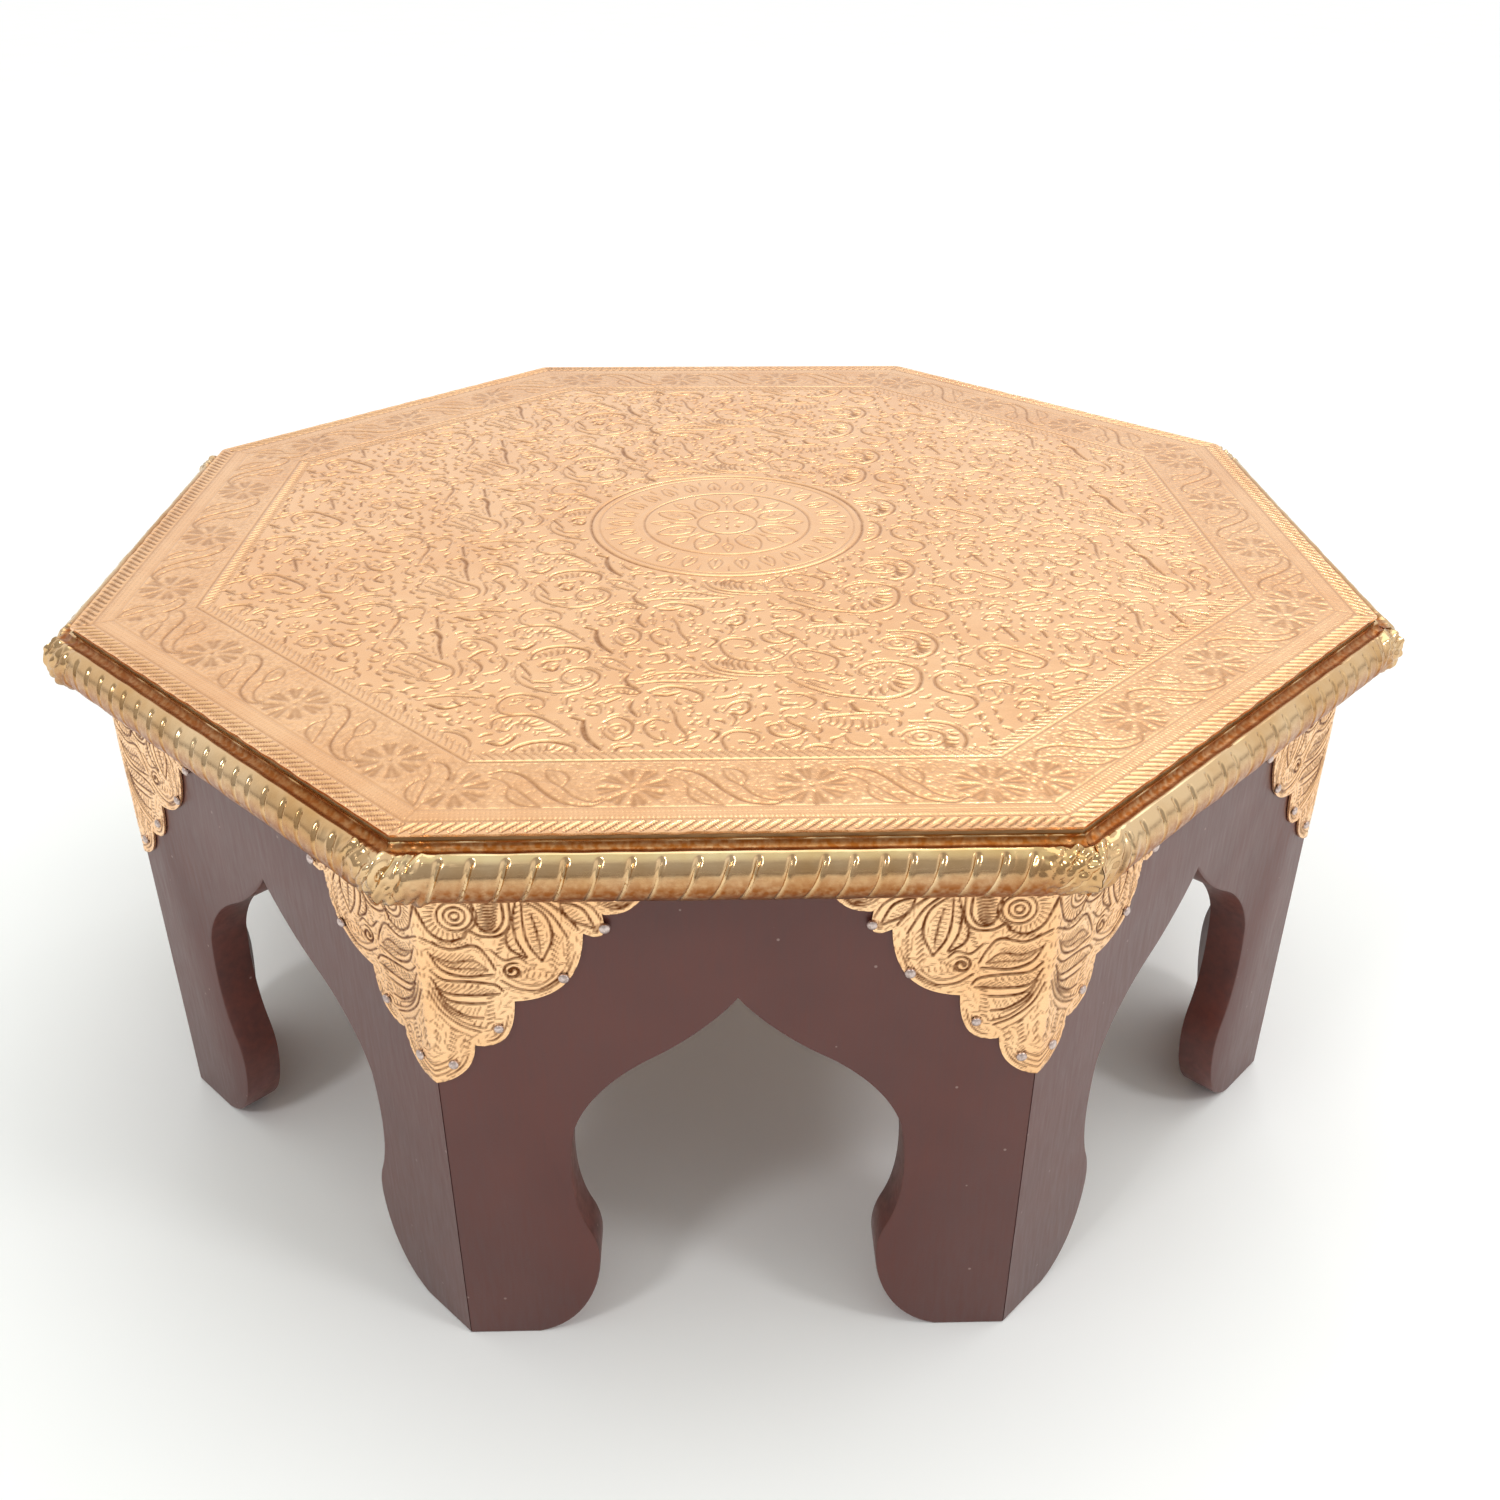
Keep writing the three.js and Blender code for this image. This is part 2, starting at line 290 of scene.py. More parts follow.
# %% Painted wood
def paint(name, main, streak, drag):
    """Eggshell paint; drag is how the brush marks stretch along X, Y and Z."""
    material, add, place = new_material(name)
    dragged = add("Mapping", {"Vector": place, "Scale": drag})
    brush = add("TexNoise", {"Vector": dragged, "Scale": 1 / 1.3, "Detail": 5, "Roughness": 0.6})
    cloud = add("TexNoise", {"Vector": place, "Scale": 1 / 22, "Detail": 3})
    tone = add("Math", {0: brush, 1: cloud}, operation="ADD")
    streaks = add("MapRange", {"Value": tone, "From Min": 0.7, "From Max": 1.3})
    body = add("Mix", {"Factor": streaks, "A": linear(main), "B": linear(streak)}, data_type="RGBA")
    nearest_speck = add("TexVoronoi", {"Vector": place, "Scale": 1 / 9})
    dust = add("MapRange", {"Value": nearest_speck, "From Min": 0.035, "From Max": 0.05,
                            "To Min": 0.55, "To Max": 0.0})
    colour = add("Mix", {"Factor": dust, "A": body, "B": linear("#A48B82")}, data_type="RGBA")
    gloss = add("MapRange", {"Value": brush, "From Min": 0.3, "From Max": 0.7,
                             "To Min": 0.38, "To Max": 0.52})
    pimple = add("TexNoise", {"Vector": place, "Scale": 1 / 0.7, "Detail": 2})
    grain = add("Bump", {"Height": brush, "Distance": 0.08 * MM, "Strength": 0.45})
    film = add("Bump", {"Height": pimple, "Distance": 0.03 * MM, "Strength": 0.5, "Normal": grain})
    shader = add("BsdfPrincipled", {"Base Color": colour, "Roughness": gloss, "Normal": film,
                                    "Sheen Weight": 0.08, "Sheen Roughness": 0.3,
                                    "Coat Weight": 0.15, "Coat Roughness": 0.3})
    add("OutputMaterial", {"Surface": shader})
    return material


PAINT = paint("brushed_eggshell_paint", "#52221A", "#5C281E", (1.0, 1.0, 0.12))
EDGE_PAINT = paint("paint_on_sawn_edge", "#6A2C1E", "#4C221B", (0.5, 0.5, 0.5))


# %% Bare wood
def bare_wood(name, pale, dark, stretch):
    """Sawn softwood: growth rings seen as long streaks along the grain."""
    material, add, place = new_material(name)
    along = add("Mapping", {"Vector": place, "Scale": stretch})
    rings = add("TexNoise", {"Vector": along, "Scale": 1 / 3, "Detail": 6, "Roughness": 0.65})
    fibre = add("TexNoise", {"Vector": along, "Scale": 1 / 0.6, "Detail": 3})
    bands = add("MapRange", {"Value": rings, "From Min": 0.35, "From Max": 0.65})
    body = add("Mix", {"Factor": bands, "A": linear(pale), "B": linear(dark)}, data_type="RGBA")
    pores = add("MapRange", {"Value": fibre, "From Min": 0.5, "From Max": 0.75, "To Max": 0.35})
    colour = add("Mix", {"Factor": pores, "A": body, "B": linear("#6B4A2C")}, data_type="RGBA")
    relief = add("Bump", {"Height": fibre, "Distance": 0.1 * MM, "Strength": 0.6})
    shader = add("BsdfPrincipled", {"Base Color": colour, "Roughness": 0.78, "Normal": relief})
    add("OutputMaterial", {"Surface": shader})
    return material


BOARD_WOOD = bare_wood("sawn_board", "#B98F60", "#9A7146", (0.08, 1.0, 1.0))
BLOCK_WOOD = bare_wood("softwood_block", "#C9A678", "#A98252", (1.0, 1.0, 0.1))


# %% Steel for pins and screws
def steel(name, bright, dull):
    """Plain drawn steel, dulled unevenly by handling."""
    material, add, place = new_material(name)
    spots = add("TexNoise", {"Vector": place, "Scale": 1 / 0.8, "Detail": 4, "Roughness": 0.6})
    dulled = add("MapRange", {"Value": spots, "From Min": 0.35, "From Max": 0.65})
    colour = add("Mix", {"Factor": dulled, "A": linear(bright), "B": linear(dull)}, data_type="RGBA")
    gloss = add("MapRange", {"Value": spots, "From Min": 0.3, "From Max": 0.7,
                             "To Min": 0.3, "To Max": 0.5})
    relief = add("Bump", {"Height": spots, "Distance": 0.03 * MM, "Strength": 0.5})
    shader = add("BsdfPrincipled", {"Base Color": colour, "Metallic": 1.0, "Roughness": gloss,
                                    "Normal": relief})
    add("OutputMaterial", {"Surface": shader})
    return material


PIN_STEEL = steel("dull_pin_steel", "#DCCAC3", "#B7A49D")
SCREW_STEEL = steel("drawn_screw_steel", "#A8A29A", "#7C766E")
print("materials:", len(bpy.data.materials))

# %% [markdown]
# ## Chasing: drawing with a punch
# On the real sheet every line is pressed in with a small tool. Here a cut is a path with a
# width that may swell or taper, and a depth. Cuts are pressed into a fine grid of depths, and
# the meshes read their heights from that grid. Metal pushed out of a line rises beside it, so a
# blurred copy of the depths is added back, which gives the ground its soft pillows.


# %% Cuts
def smooth(points, steps=7):
    """A Catmull-Rom curve through the points."""
    points = np.asarray(points, float)
    if len(points) < 3:
        return points
    padded = np.vstack([2 * points[0] - points[1], points, 2 * points[-1] - points[-2]])
    t = np.linspace(0, 1, steps, endpoint=False)[:, None]
    spans = []
    for a, b, c, d in zip(padded, padded[1:], padded[2:], padded[3:]):
        spans.append(b + t * (c - a) / 2 + t ** 2 * (a - 2.5 * b + 2 * c - d / 2)
                     + t ** 3 * (1.5 * b - 1.5 * c + (d - a) / 2))
    return np.vstack([*spans, points[-1]])


def cut(points, width=0.9, depth=0.3, wall=None):
    """One cut: its path, half its width along it, its depth, and how wide its sloping wall is."""
    path = smooth(points)
    half = np.interp(np.linspace(0, 1, len(path)), np.linspace(0, 1, np.size(width)),
                     np.atleast_1d(width)) / 2
    return path, half, depth, wall


def dot(x, y, width=1.1, depth=0.3):
    return cut([(x, y), (x + 0.05, y)], width, depth)


def arc(radius, start, end, width=0.9, depth=0.3, centre=(0, 0)):
    """Part of a circle, between two angles in degrees."""
    count = max(4, int(abs(end - start) / 12))
    angle = np.radians(np.linspace(start, end, count))
    path = np.stack([centre[0] + radius * np.cos(angle), centre[1] + radius * np.sin(angle)], axis=1)
    return cut(path, width, depth)


def placed(cuts, x=0.0, y=0.0, turn=0.0, size=1.0, flip=False):
    """The same cuts, mirrored, scaled, turned by degrees and moved."""
    c, s = math.cos(math.radians(turn)), math.sin(math.radians(turn))
    moved = []
    for path, half, depth, wall in cuts:
        u, v = path[:, 0] * size, path[:, 1] * (-size if flip else size)
        path = np.stack([x + c * u - s * v, y + s * u + c * v], axis=1)
        moved.append((path, half * size ** 0.5, depth, wall))
    return moved


def broader(cuts, width, depth):
    """The same cuts made with a broader tool, pressed harder."""
    return [(path, half * width, deep * depth, wall) for path, half, deep, wall in cuts]


# %% Pressing cuts into a grid of depths
SAMPLE_STEP = 0.15


def samples_of(cuts):
    """All cuts as closely spaced punches: x, y, half width, depth and wall."""
    rows = []
    for path, half, depth, wall in cuts:
        run = np.concatenate([[0], np.cumsum(np.hypot(*np.diff(path, axis=0).T))])
        along = np.linspace(0, run[-1], max(2, int(run[-1] / SAMPLE_STEP) + 1))
        width = np.interp(along, run, half)
        edge = width if wall is None else np.full_like(width, wall)
        x, y = (np.interp(along, run, path[:, axis]) for axis in (0, 1))
        rows.append(np.stack([x, y, width, np.full_like(width, depth), edge]))
    return np.concatenate(rows, axis=1)


def press(punches, low, high, pitch):
    """A grid of depths covering low to high, with every punch pressed into it."""
    columns, rows = (int(math.ceil((b - a) / pitch)) + 1 for a, b in zip(low, high))
    depths = np.zeros(columns * rows)
    reach = np.ceil(punches[2] / pitch).astype(int)
    for span in np.unique(reach):
        x, y, half, depth, wall = punches[:, reach == span]
        column = np.rint((x - low[0]) / pitch).astype(int)
        row = np.rint((y - low[1]) / pitch).astype(int)
        for across in range(-span, span + 1):
            for upward in range(-span, span + 1):
                i, j = column + across, row + upward
                away = np.hypot(low[0] + i * pitch - x, low[1] + j * pitch - y)
                fall = np.clip((half - away) / wall, 0, 1)
                keep = (fall > 0) & (i >= 0) & (i < columns) & (j >= 0) & (j < rows)
                value = depth * fall * (2 - fall)
                np.maximum.at(depths, (j * columns + i)[keep], value[keep])
    return depths.reshape(rows, columns)


def blurred(grid, sigma_cells):
    """Gaussian blur through the Fourier transform."""
    fy = np.fft.fftfreq(grid.shape[0])[:, None]
    fx = np.fft.rfftfreq(grid.shape[1])[None, :]
    window = np.exp(-2 * (math.pi * sigma_cells) ** 2 * (fx ** 2 + fy ** 2))
    return np.fft.irfft2(np.fft.rfft2(grid) * window, s=grid.shape)


def pillowed(depths, pitch, soft, share, reach):
    """Depths eased by the tool's round edge, and heights with metal risen beside each line."""
    depths = blurred(depths, soft / pitch)
    return depths, -depths + share * blurred(depths, reach / pitch)


def read(grid, low, pitch, x, y):
    """The grid's values at points, between its cells."""
    u = np.clip((x - low[0]) / pitch, 0, grid.shape[1] - 1.001)
    v = np.clip((y - low[1]) / pitch, 0, grid.shape[0] - 1.001)
    i, j = u.astype(int), v.astype(int)
    a, b = u - i, v - j
    lower = grid[j, i] * (1 - a) + grid[j, i + 1] * a
    upper = grid[j + 1, i] * (1 - a) + grid[j + 1, i + 1] * a
    return lower * (1 - b) + upper * b


# %% [markdown]
# ## One row of the field, repeated
# The field's scrollwork was stamped with one long pattern that comes round again every 52.5 mm
# down the table and 210 mm across it. It is drawn here once, stroke by stroke, in millimetres
# about the row's own middle: scrolls that end in an eye, arms with feathered edges, ferns,
# commas and dots. A stroke's first number is its width, and its depth grows with it. Between
# the motifs the ground is filled with small strokes by rule: places are scattered at random,
# those with the right room round them are kept, and each stroke is turned along its neighbours.


# %% Strokes, feathers and dots
BROAD_TOOL = 1.12


def strokes(*lines):
    """Each line is a width followed by its points; it swells in the middle and tapers out."""
    cuts = []
    for width, *points in lines:
        width *= BROAD_TOOL
        depth = 0.24 + 0.1 * min(width, 2.2)
        cuts.append(cut(points, (width * 0.55, width, width * 0.9, width * 0.45), depth))
    return cuts


def feathers(path, count, length, lean, width=1.0):
    """Commas in a row along a path, each leaning off it by so many degrees."""
    curve = smooth(path, 12)
    cuts = []
    for t in np.linspace(0.04, 0.96, count):
        i = int(t * (len(curve) - 2))
        dx, dy = curve[i + 1] - curve[i]
        turn = math.degrees(math.atan2(dy, dx)) + lean
        size = length * (0.65 + 0.5 * math.sin(math.pi * t))
        cuts += placed(strokes((width, (0, 0), (size * 0.5, size * 0.14), (size, 0))), *curve[i], turn)
    return cuts


def dots(width, *places):
    return [dot(x, y, width * BROAD_TOOL, 0.36) for x, y in places]


def ring(x, y, radius, width=0.9):
    return [arc(radius, 0, 360, width * BROAD_TOOL, 0.32, (x, y))]


# %% The left end of the row: sprig, oval scroll, stem and cluster
def row_left():
    cuts = strokes(
        (1.3, (-93.8, 24), (-94.8, 22.5), (-93.8, 17.7), (-94.6, 11.8), (-95, 6)),
        (1.0, (-96, 22.5), (-95, 26), (-89.2, 26), (-87.5, 23.5), (-88, 18.5)),
        (1.1, (-96, 5), (-92.5, 5.2), (-90, 2.5), (-88.7, -0.5), (-91, -2)),
        (1.1, (-97.5, 3), (-97.8, -1), (-95, -3.5), (-97, -6.2)),
        (1.1, (-91.7, -9.5), (-90.8, -4.8), (-85.8, -4), (-80.8, -8), (-75, -12), (-73.8, -16.5),
         (-76.7, -19.8), (-80.8, -19.8), (-82, -15.9), (-79.6, -14)),
        (0.9, (-92.5, -13.2), (-87.5, -15.7), (-81.7, -19)),
        (0.8, (-89.4, -7.5), (-84.4, -11.4), (-81, -15.5)), (0.8, (-87, -6), (-82, -9.6), (-77.8, -13.6)),
        (0.8, (-90.6, -10.6), (-87.4, -13.4), (-83.4, -17)),
        (1.1, (-80, 22.3), (-72.5, 23.8), (-62.5, 22.3)), (1.6, (-78, 19.6), (-73, 17), (-68, 19.6)),
        (1.7, (-71.5, 21.2), (-69, 18.4)), (1.2, (-67.6, 20.8), (-64.4, 18.6)),
        (2.1, (-83.5, 19.6), (-82, 12)),
        (1.8, (-84.6, 8.8), (-82.6, 9.8), (-80.4, 6), (-80, 1), (-78, -7.3)),
        (1.2, (-86.6, 3.7), (-83, 1.8)), (1.2, (-84.4, -0.6), (-82.3, -3.4)),
        (1.1, (-75, 0.6), (-74, 4.8), (-69, 4.6), (-65, 1), (-64.2, -3.2), (-66.7, -5.7)),
        (1.5, (-70.8, -6.9), (-68.3, -3.2), (-65.8, -2.3)), (1.2, (-75.2, -2), (-74.2, -7.5)),
        (1.2, (-73.3, -9), (-71.7, -14), (-72.1, -18.4)),
        (1.3, (-70.4, -7.3), (-67.5, -10.7), (-66.7, -14), (-68.5, -17.5)),
        (1.2, (-62.5, -5.5), (-60.4, -9.8), (-61.7, -14.8), (-65.2, -16.7)),
        (1.5, (-69.2, -18.2), (-68.3, -20.9), (-71, -22.5)),
    )
    cuts += dots(2.1, (-81.7, 23.7), (-71.7, 1)) + ring(-71.7, 1, 2.3)
    cuts += dots(1.2, (-71.7, 13.5), (-69.2, 15.4), (-66.7, 14.3), (-70.8, 11), (-68.3, 11.9),
                 (-65.8, 11), (-64.2, 15.4), (-63.3, 17.9), (-62.6, 7.9), (-68.6, 9.4))
    cuts += feathers([(-93.8, 20), (-94.8, 8)], 4, 2.8, 55, 1.1)
    cuts += feathers([(-93.8, 20), (-94.8, 8)], 4, 2.8, -55, 1.1)
    return cuts


# %% Middle left: round curl, hatched leaf, the great C and its spiral
def row_middle_left():
    cuts = strokes(
        (1.1, (-55.5, 13.2), (-58.8, 14.6), (-60, 18.5), (-58.3, 22.7), (-54.2, 24.3), (-49.2, 21.8),
         (-48.3, 17.7), (-50.8, 15.8), (-52.6, 17.6)),
        (0.9, (-56.4, 20.6), (-53, 21.6)), (0.9, (-57, 18.4), (-54.6, 19.2)),
        (1.3, (-60, 6.4), (-60, 11), (-55.8, 12.9), (-50, 12.7), (-45, 8.7), (-40.2, 2.5)),
        (1.6, (-60.4, -0.5), (-56.7, -1.9), (-54.2, 1), (-53.8, 3)),
        (1.0, (-58.8, 6), (-56, 5.2), (-54.6, 8.4)),
        (1.5, (-54.2, -8.2), (-53.3, -4), (-50, -1.3), (-45, -0.5), (-39.2, -3), (-38.8, -7.3),
         (-41, -10.5)),
        (1.2, (-57.8, -14), (-56.7, -19.8), (-53.3, -24), (-46.7, -27.3), (-40.8, -26.5), (-36.7, -23.2),
         (-35, -18.2), (-37.5, -14.6), (-41.7, -13.4), (-44.4, -15.7), (-45, -19.8), (-42.5, -22.4),
         (-39.5, -20.6), (-40.3, -17.7)),
        (1.9, (-56.9, -10.5), (-53.3, -17.3)), (1.5, (-55.4, -18), (-52, -22)),
        (1.4, (-52.6, -21.2), (-48.6, -21.6), (-46, -20.4)), (1.2, (-51, -24.2), (-47, -24.4)),
        (1.6, (-50.8, -12.3), (-50, -9.8), (-46.5, -8.6)),
        (1.8, (-50, -13.4), (-47.4, -14.6), (-46.3, -11.6)),
        (1.1, (-42.5, 18.4), (-42.4, 22.7), (-39.2, 24.5)), (2.2, (-41, 12), (-37.8, 10)),
        (1.2, (-37.7, 16.4), (-36.7, 18.3), (-34.2, 17.7), (-33.3, 13.5)),
        (2.0, (-37.5, 10.2), (-37.3, 5.2), (-35.8, 0.2), (-32.3, -4.8)),
        (1.2, (-32.7, 8.6), (-29.2, 11.6), (-25.6, 8.5), (-25.6, 3.5), (-29.2, 0), (-32.3, 3.5),
         (-31.9, 6.8)),
    )
    cuts += feathers([(-56, 11), (-50, 10.8), (-45.6, 6.6), (-41.6, 1.6)], 8, 3.6, -118, 1.1)
    cuts += feathers([(-57, 9), (-51.8, 8.2), (-47.4, 3.4)], 5, 2.6, -70, 0.9)
    cuts += feathers([(-53, -5.4), (-49.6, -3), (-45, -2), (-40.6, -4)], 7, 3.2, -100, 1.1)
    cuts += feathers([(-43, -24.9), (-38.4, -22), (-36.9, -18.2)], 5, 2.4, 120, 0.8)
    cuts += dots(2.0, (-29, 5.2), (-51.9, 18)) + ring(-29, 5.4, 2.1, 0.8)
    cuts += dots(1.5, (-40.8, 20.6), (-43.4, 15.4))
    return cuts


# %% Middle: arch leaf, hook, sprigs, fern and open spiral
def row_middle():
    cuts = strokes(
        (1.2, (-35.8, 23.3), (-33.3, 26.8), (-28.3, 27.7), (-24, 25.2), (-26, 23.8), (-30, 24.8),
         (-33.6, 22.8)),
        (1.9, (-32.6, 19.1), (-29, 22.3)),
        (1.3, (-21.7, 25.2), (-17.5, 27.7), (-12.5, 26.8), (-8.3, 23.5), (-8.3, 20), (-10.8, 19.6),
         (-12, 21.8)),
        (1.6, (-20.4, 23.6), (-17, 23), (-13.8, 24.6)), (1.6, (-25.8, 20.4), (-26.3, 16), (-24.2, 11.6)),
        (1.2, (-22.4, 17.4), (-21.6, 12.4)), (1.1, (-19.4, 20), (-19, 14.8)),
        (1.2, (-16.7, 9.1), (-20, 10.2), (-22.5, 6.8), (-20.8, 1.8), (-17.5, 0), (-18.3, 4.5)),
        (1.2, (-16.7, 17.9), (-15, 12.7), (-14.2, 7.7), (-11.7, 1), (-15, -2.5)),
        (1.3, (-12.8, 1), (-9.8, 4)), (1.2, (-13.4, -1.4), (-8.8, 1.2)), (1.2, (-16, -1.2), (-19.6, -3)),
        (1.3, (-4.4, 21), (-1, 21.7), (1.7, 23.7)), (1.5, (-5.2, 25.2), (-4, 28.4)),
        (1.4, (-2.5, 14.1), (-0.4, 17.9), (3.3, 19.3), (3.9, 15.2), (1.7, 12.5), (-0.8, 13.3), (0.4, 10.2),
         (-0.8, 6.4)),
        (1.5, (-5.8, 4.7), (-4, 2.7), (-6.5, -1.7)), (1.6, (-6.4, 11), (-6.8, 7.2)),
        (1.4, (-28.5, -7), (-28.6, -3.8), (-25, -3)),
        (1.3, (-21.9, -6.1), (-18.3, -5.3), (-17.2, -9), (-19.8, -11), (-22.7, -11.3)),
        (1.2, (-14.2, -15.2), (-11.7, -13), (-9.8, -15)), (1.1, (-15.6, -6), (-13.4, -9.6), (-14.8, -12)),
        (1.0, (-36.7, -7.1), (-31.6, -8.6), (-26.4, -15.2)),
        (1.0, (-36.3, -8.3), (-33, -13), (-26.6, -16.6)),
        (1.4, (-27.4, -17), (-28.2, -20.6), (-26.4, -24.4)), (2.1, (-27.7, -23.2), (-24.8, -25.4)),
        (1.1, (-25.8, -21.8), (-20, -17.6), (-12.5, -16.8), (-5, -19.2), (1.2, -20.9)),
        (1.1, (-25, -23.2), (-18.4, -21.8), (-9, -22.4), (1.2, -21.1)),
        (1.2, (-7.5, -8.8), (-5, -14), (0, -16.7), (8.3, -18), (15.6, -17.3)),
        (0.9, (-8.7, -10.6), (-5.8, -15.7), (-0.6, -18.4), (7, -19.6)),
        (1.2, (1.5, -1.3), (4.4, -2.2), (5.9, 0.4), (4.2, 2.9), (0, 3.7), (-2.9, 1), (-2.7, -3.2),
         (0, -8.2), (6.7, -10.7), (13.3, -8.2), (17.7, 0.4)),
        (1.4, (9.2, -3), (10.8, -6.7)), (1.4, (10.8, -2.1), (14.4, -6.5)), (1.1, (10, -10.9), (11, -15.9)),
        (1.3, (11.7, 4.1), (10.8, 7), (8.3, 6.2), (9, 2.7), (12.4, 0.8), (16, 2.5), (16.8, 5), (13.5, 8.3),
         (12.9, 11), (15.6, 10.7)),
        (1.2, (12.3, 22.9), (17.5, 22.9), (20.9, 19.3), (18.3, 15.8), (15, 15.3)),
        (1.1, (11.6, 20.6), (14.4, 20.2)), (1.1, (13, 18), (16, 17.6)),
    )
    cuts += dots(1.2, (-12.5, 15.4), (-10.5, 14), (-8.5, 12.5), (-11, 11.8), (-9, 10), (-10.5, 8.3),
                 (-8.5, 6.5))
    cuts += dots(1.8, (-24.6, -6.6), (-10.9, 16.4), (-20.1, 6), (1.7, 15.4))
    cuts += feathers([(-4, -12), (1, -14.6), (8, -16)], 7, 5.2, 108, 1.2)
    cuts += feathers([(-34, -9), (-28, -14)], 6, 2.6, -60, 0.8)
    cuts += feathers([(-22, -21), (-12, -20), (-4, -20.6)], 9, 2.9, 48, 0.9)
    cuts += feathers([(-33, 25.6), (-28.4, 26.4), (-25.4, 25.2)], 5, 1.8, -75, 0.9)
    return cuts


# %% Middle right: comb, ring scroll and the great acanthus
def row_middle_right():
    cuts = strokes(
        (1.5, (23, 17.9), (23.3, 15), (26.2, 14.3)), (1.7, (29.6, 18.1), (30.8, 14.3), (32.7, 13.3)),
        (1.4, (36.8, 17.2), (39, 13.3)), (1.0, (21, 6.6), (21.6, 9.8), (28, 11.4), (36, 12), (41, 11)),
        (1.1, (16.6, 12), (19, 9.4)), (1.2, (17, 5.4), (19.8, 2)),
        (1.2, (26.7, 1.2), (28.1, -2.3), (31.8, -4.2), (33.7, -1.8)),
        (1.3, (28.8, -5.3), (30.8, -7.5), (34, -6.5)),
        (1.2, (40.4, 0.2), (42.5, 3), (46.7, 4), (50.8, 1.8), (50.8, -2.3), (47.5, -4.2), (42.5, -3.4),
         (41, -1)),
        (1.3, (43.8, 7.7), (50, 7.5), (54.4, 5.2), (56.5, -0.7), (54.4, -6.5), (50, -9.2), (45, -7.3)),
        (1.2, (16.9, -13.4), (15.8, -7.3), (19.2, -3.8), (24.2, -5.5), (28.1, -9), (27.5, -14),
         (24.2, -16.7), (20, -16.2), (17.6, -14.6)),
        (1.3, (20.8, -7.4), (22.8, -9.8)), (1.2, (20.6, -11.4), (23.2, -12.6)),
        (1.6, (18.6, -13), (17.4, -10.6)),
        (1.3, (13.8, -19), (17.5, -24), (24.2, -29), (31.7, -31.5), (40, -32.3), (46.7, -28.2),
         (49.4, -22.3), (49.2, -15.7), (45, -12.1), (40, -11.3), (35, -13.8), (33.6, -17.3),
         (36.7, -20), (39.7, -17.5)),
        (1.1, (17.4, -20.6), (22.8, -24.4)), (1.3, (19, -23), (24.6, -27)), (1.2, (21, -21.4), (26.4, -25)),
        (1.4, (29, -24.2), (31.9, -22)), (1.6, (25.4, -17.6), (28.6, -18.8)),
    )
    cuts += feathers([(30, -29.6), (39, -30.4), (45.6, -26.6), (47.6, -21), (46.6, -15.8)], 9, 5.0, 82, 1.3)
    cuts += feathers([(43, -13.4), (38.6, -13.2), (35.6, -15.4)], 4, 2.2, 80, 1.1)
    cuts += feathers([(24, 10.4), (31, 9.4), (38, 9.6)], 8, 4.8, -100, 1.0)
    cuts += feathers([(28, 4.6), (33, 6.6), (38.6, 8)], 6, 2.4, -110, 1.0)
    cuts += feathers([(54.6, 1), (53.4, -4.8), (49.6, -7.6)], 6, 3.0, -100, 1.5)
    cuts += ring(45.6, 0.2, 2.2) + dots(1.7, (45.6, 0.2), (35.2, -22.8), (37.6, -22.8), (23, 18.2))
    return cuts


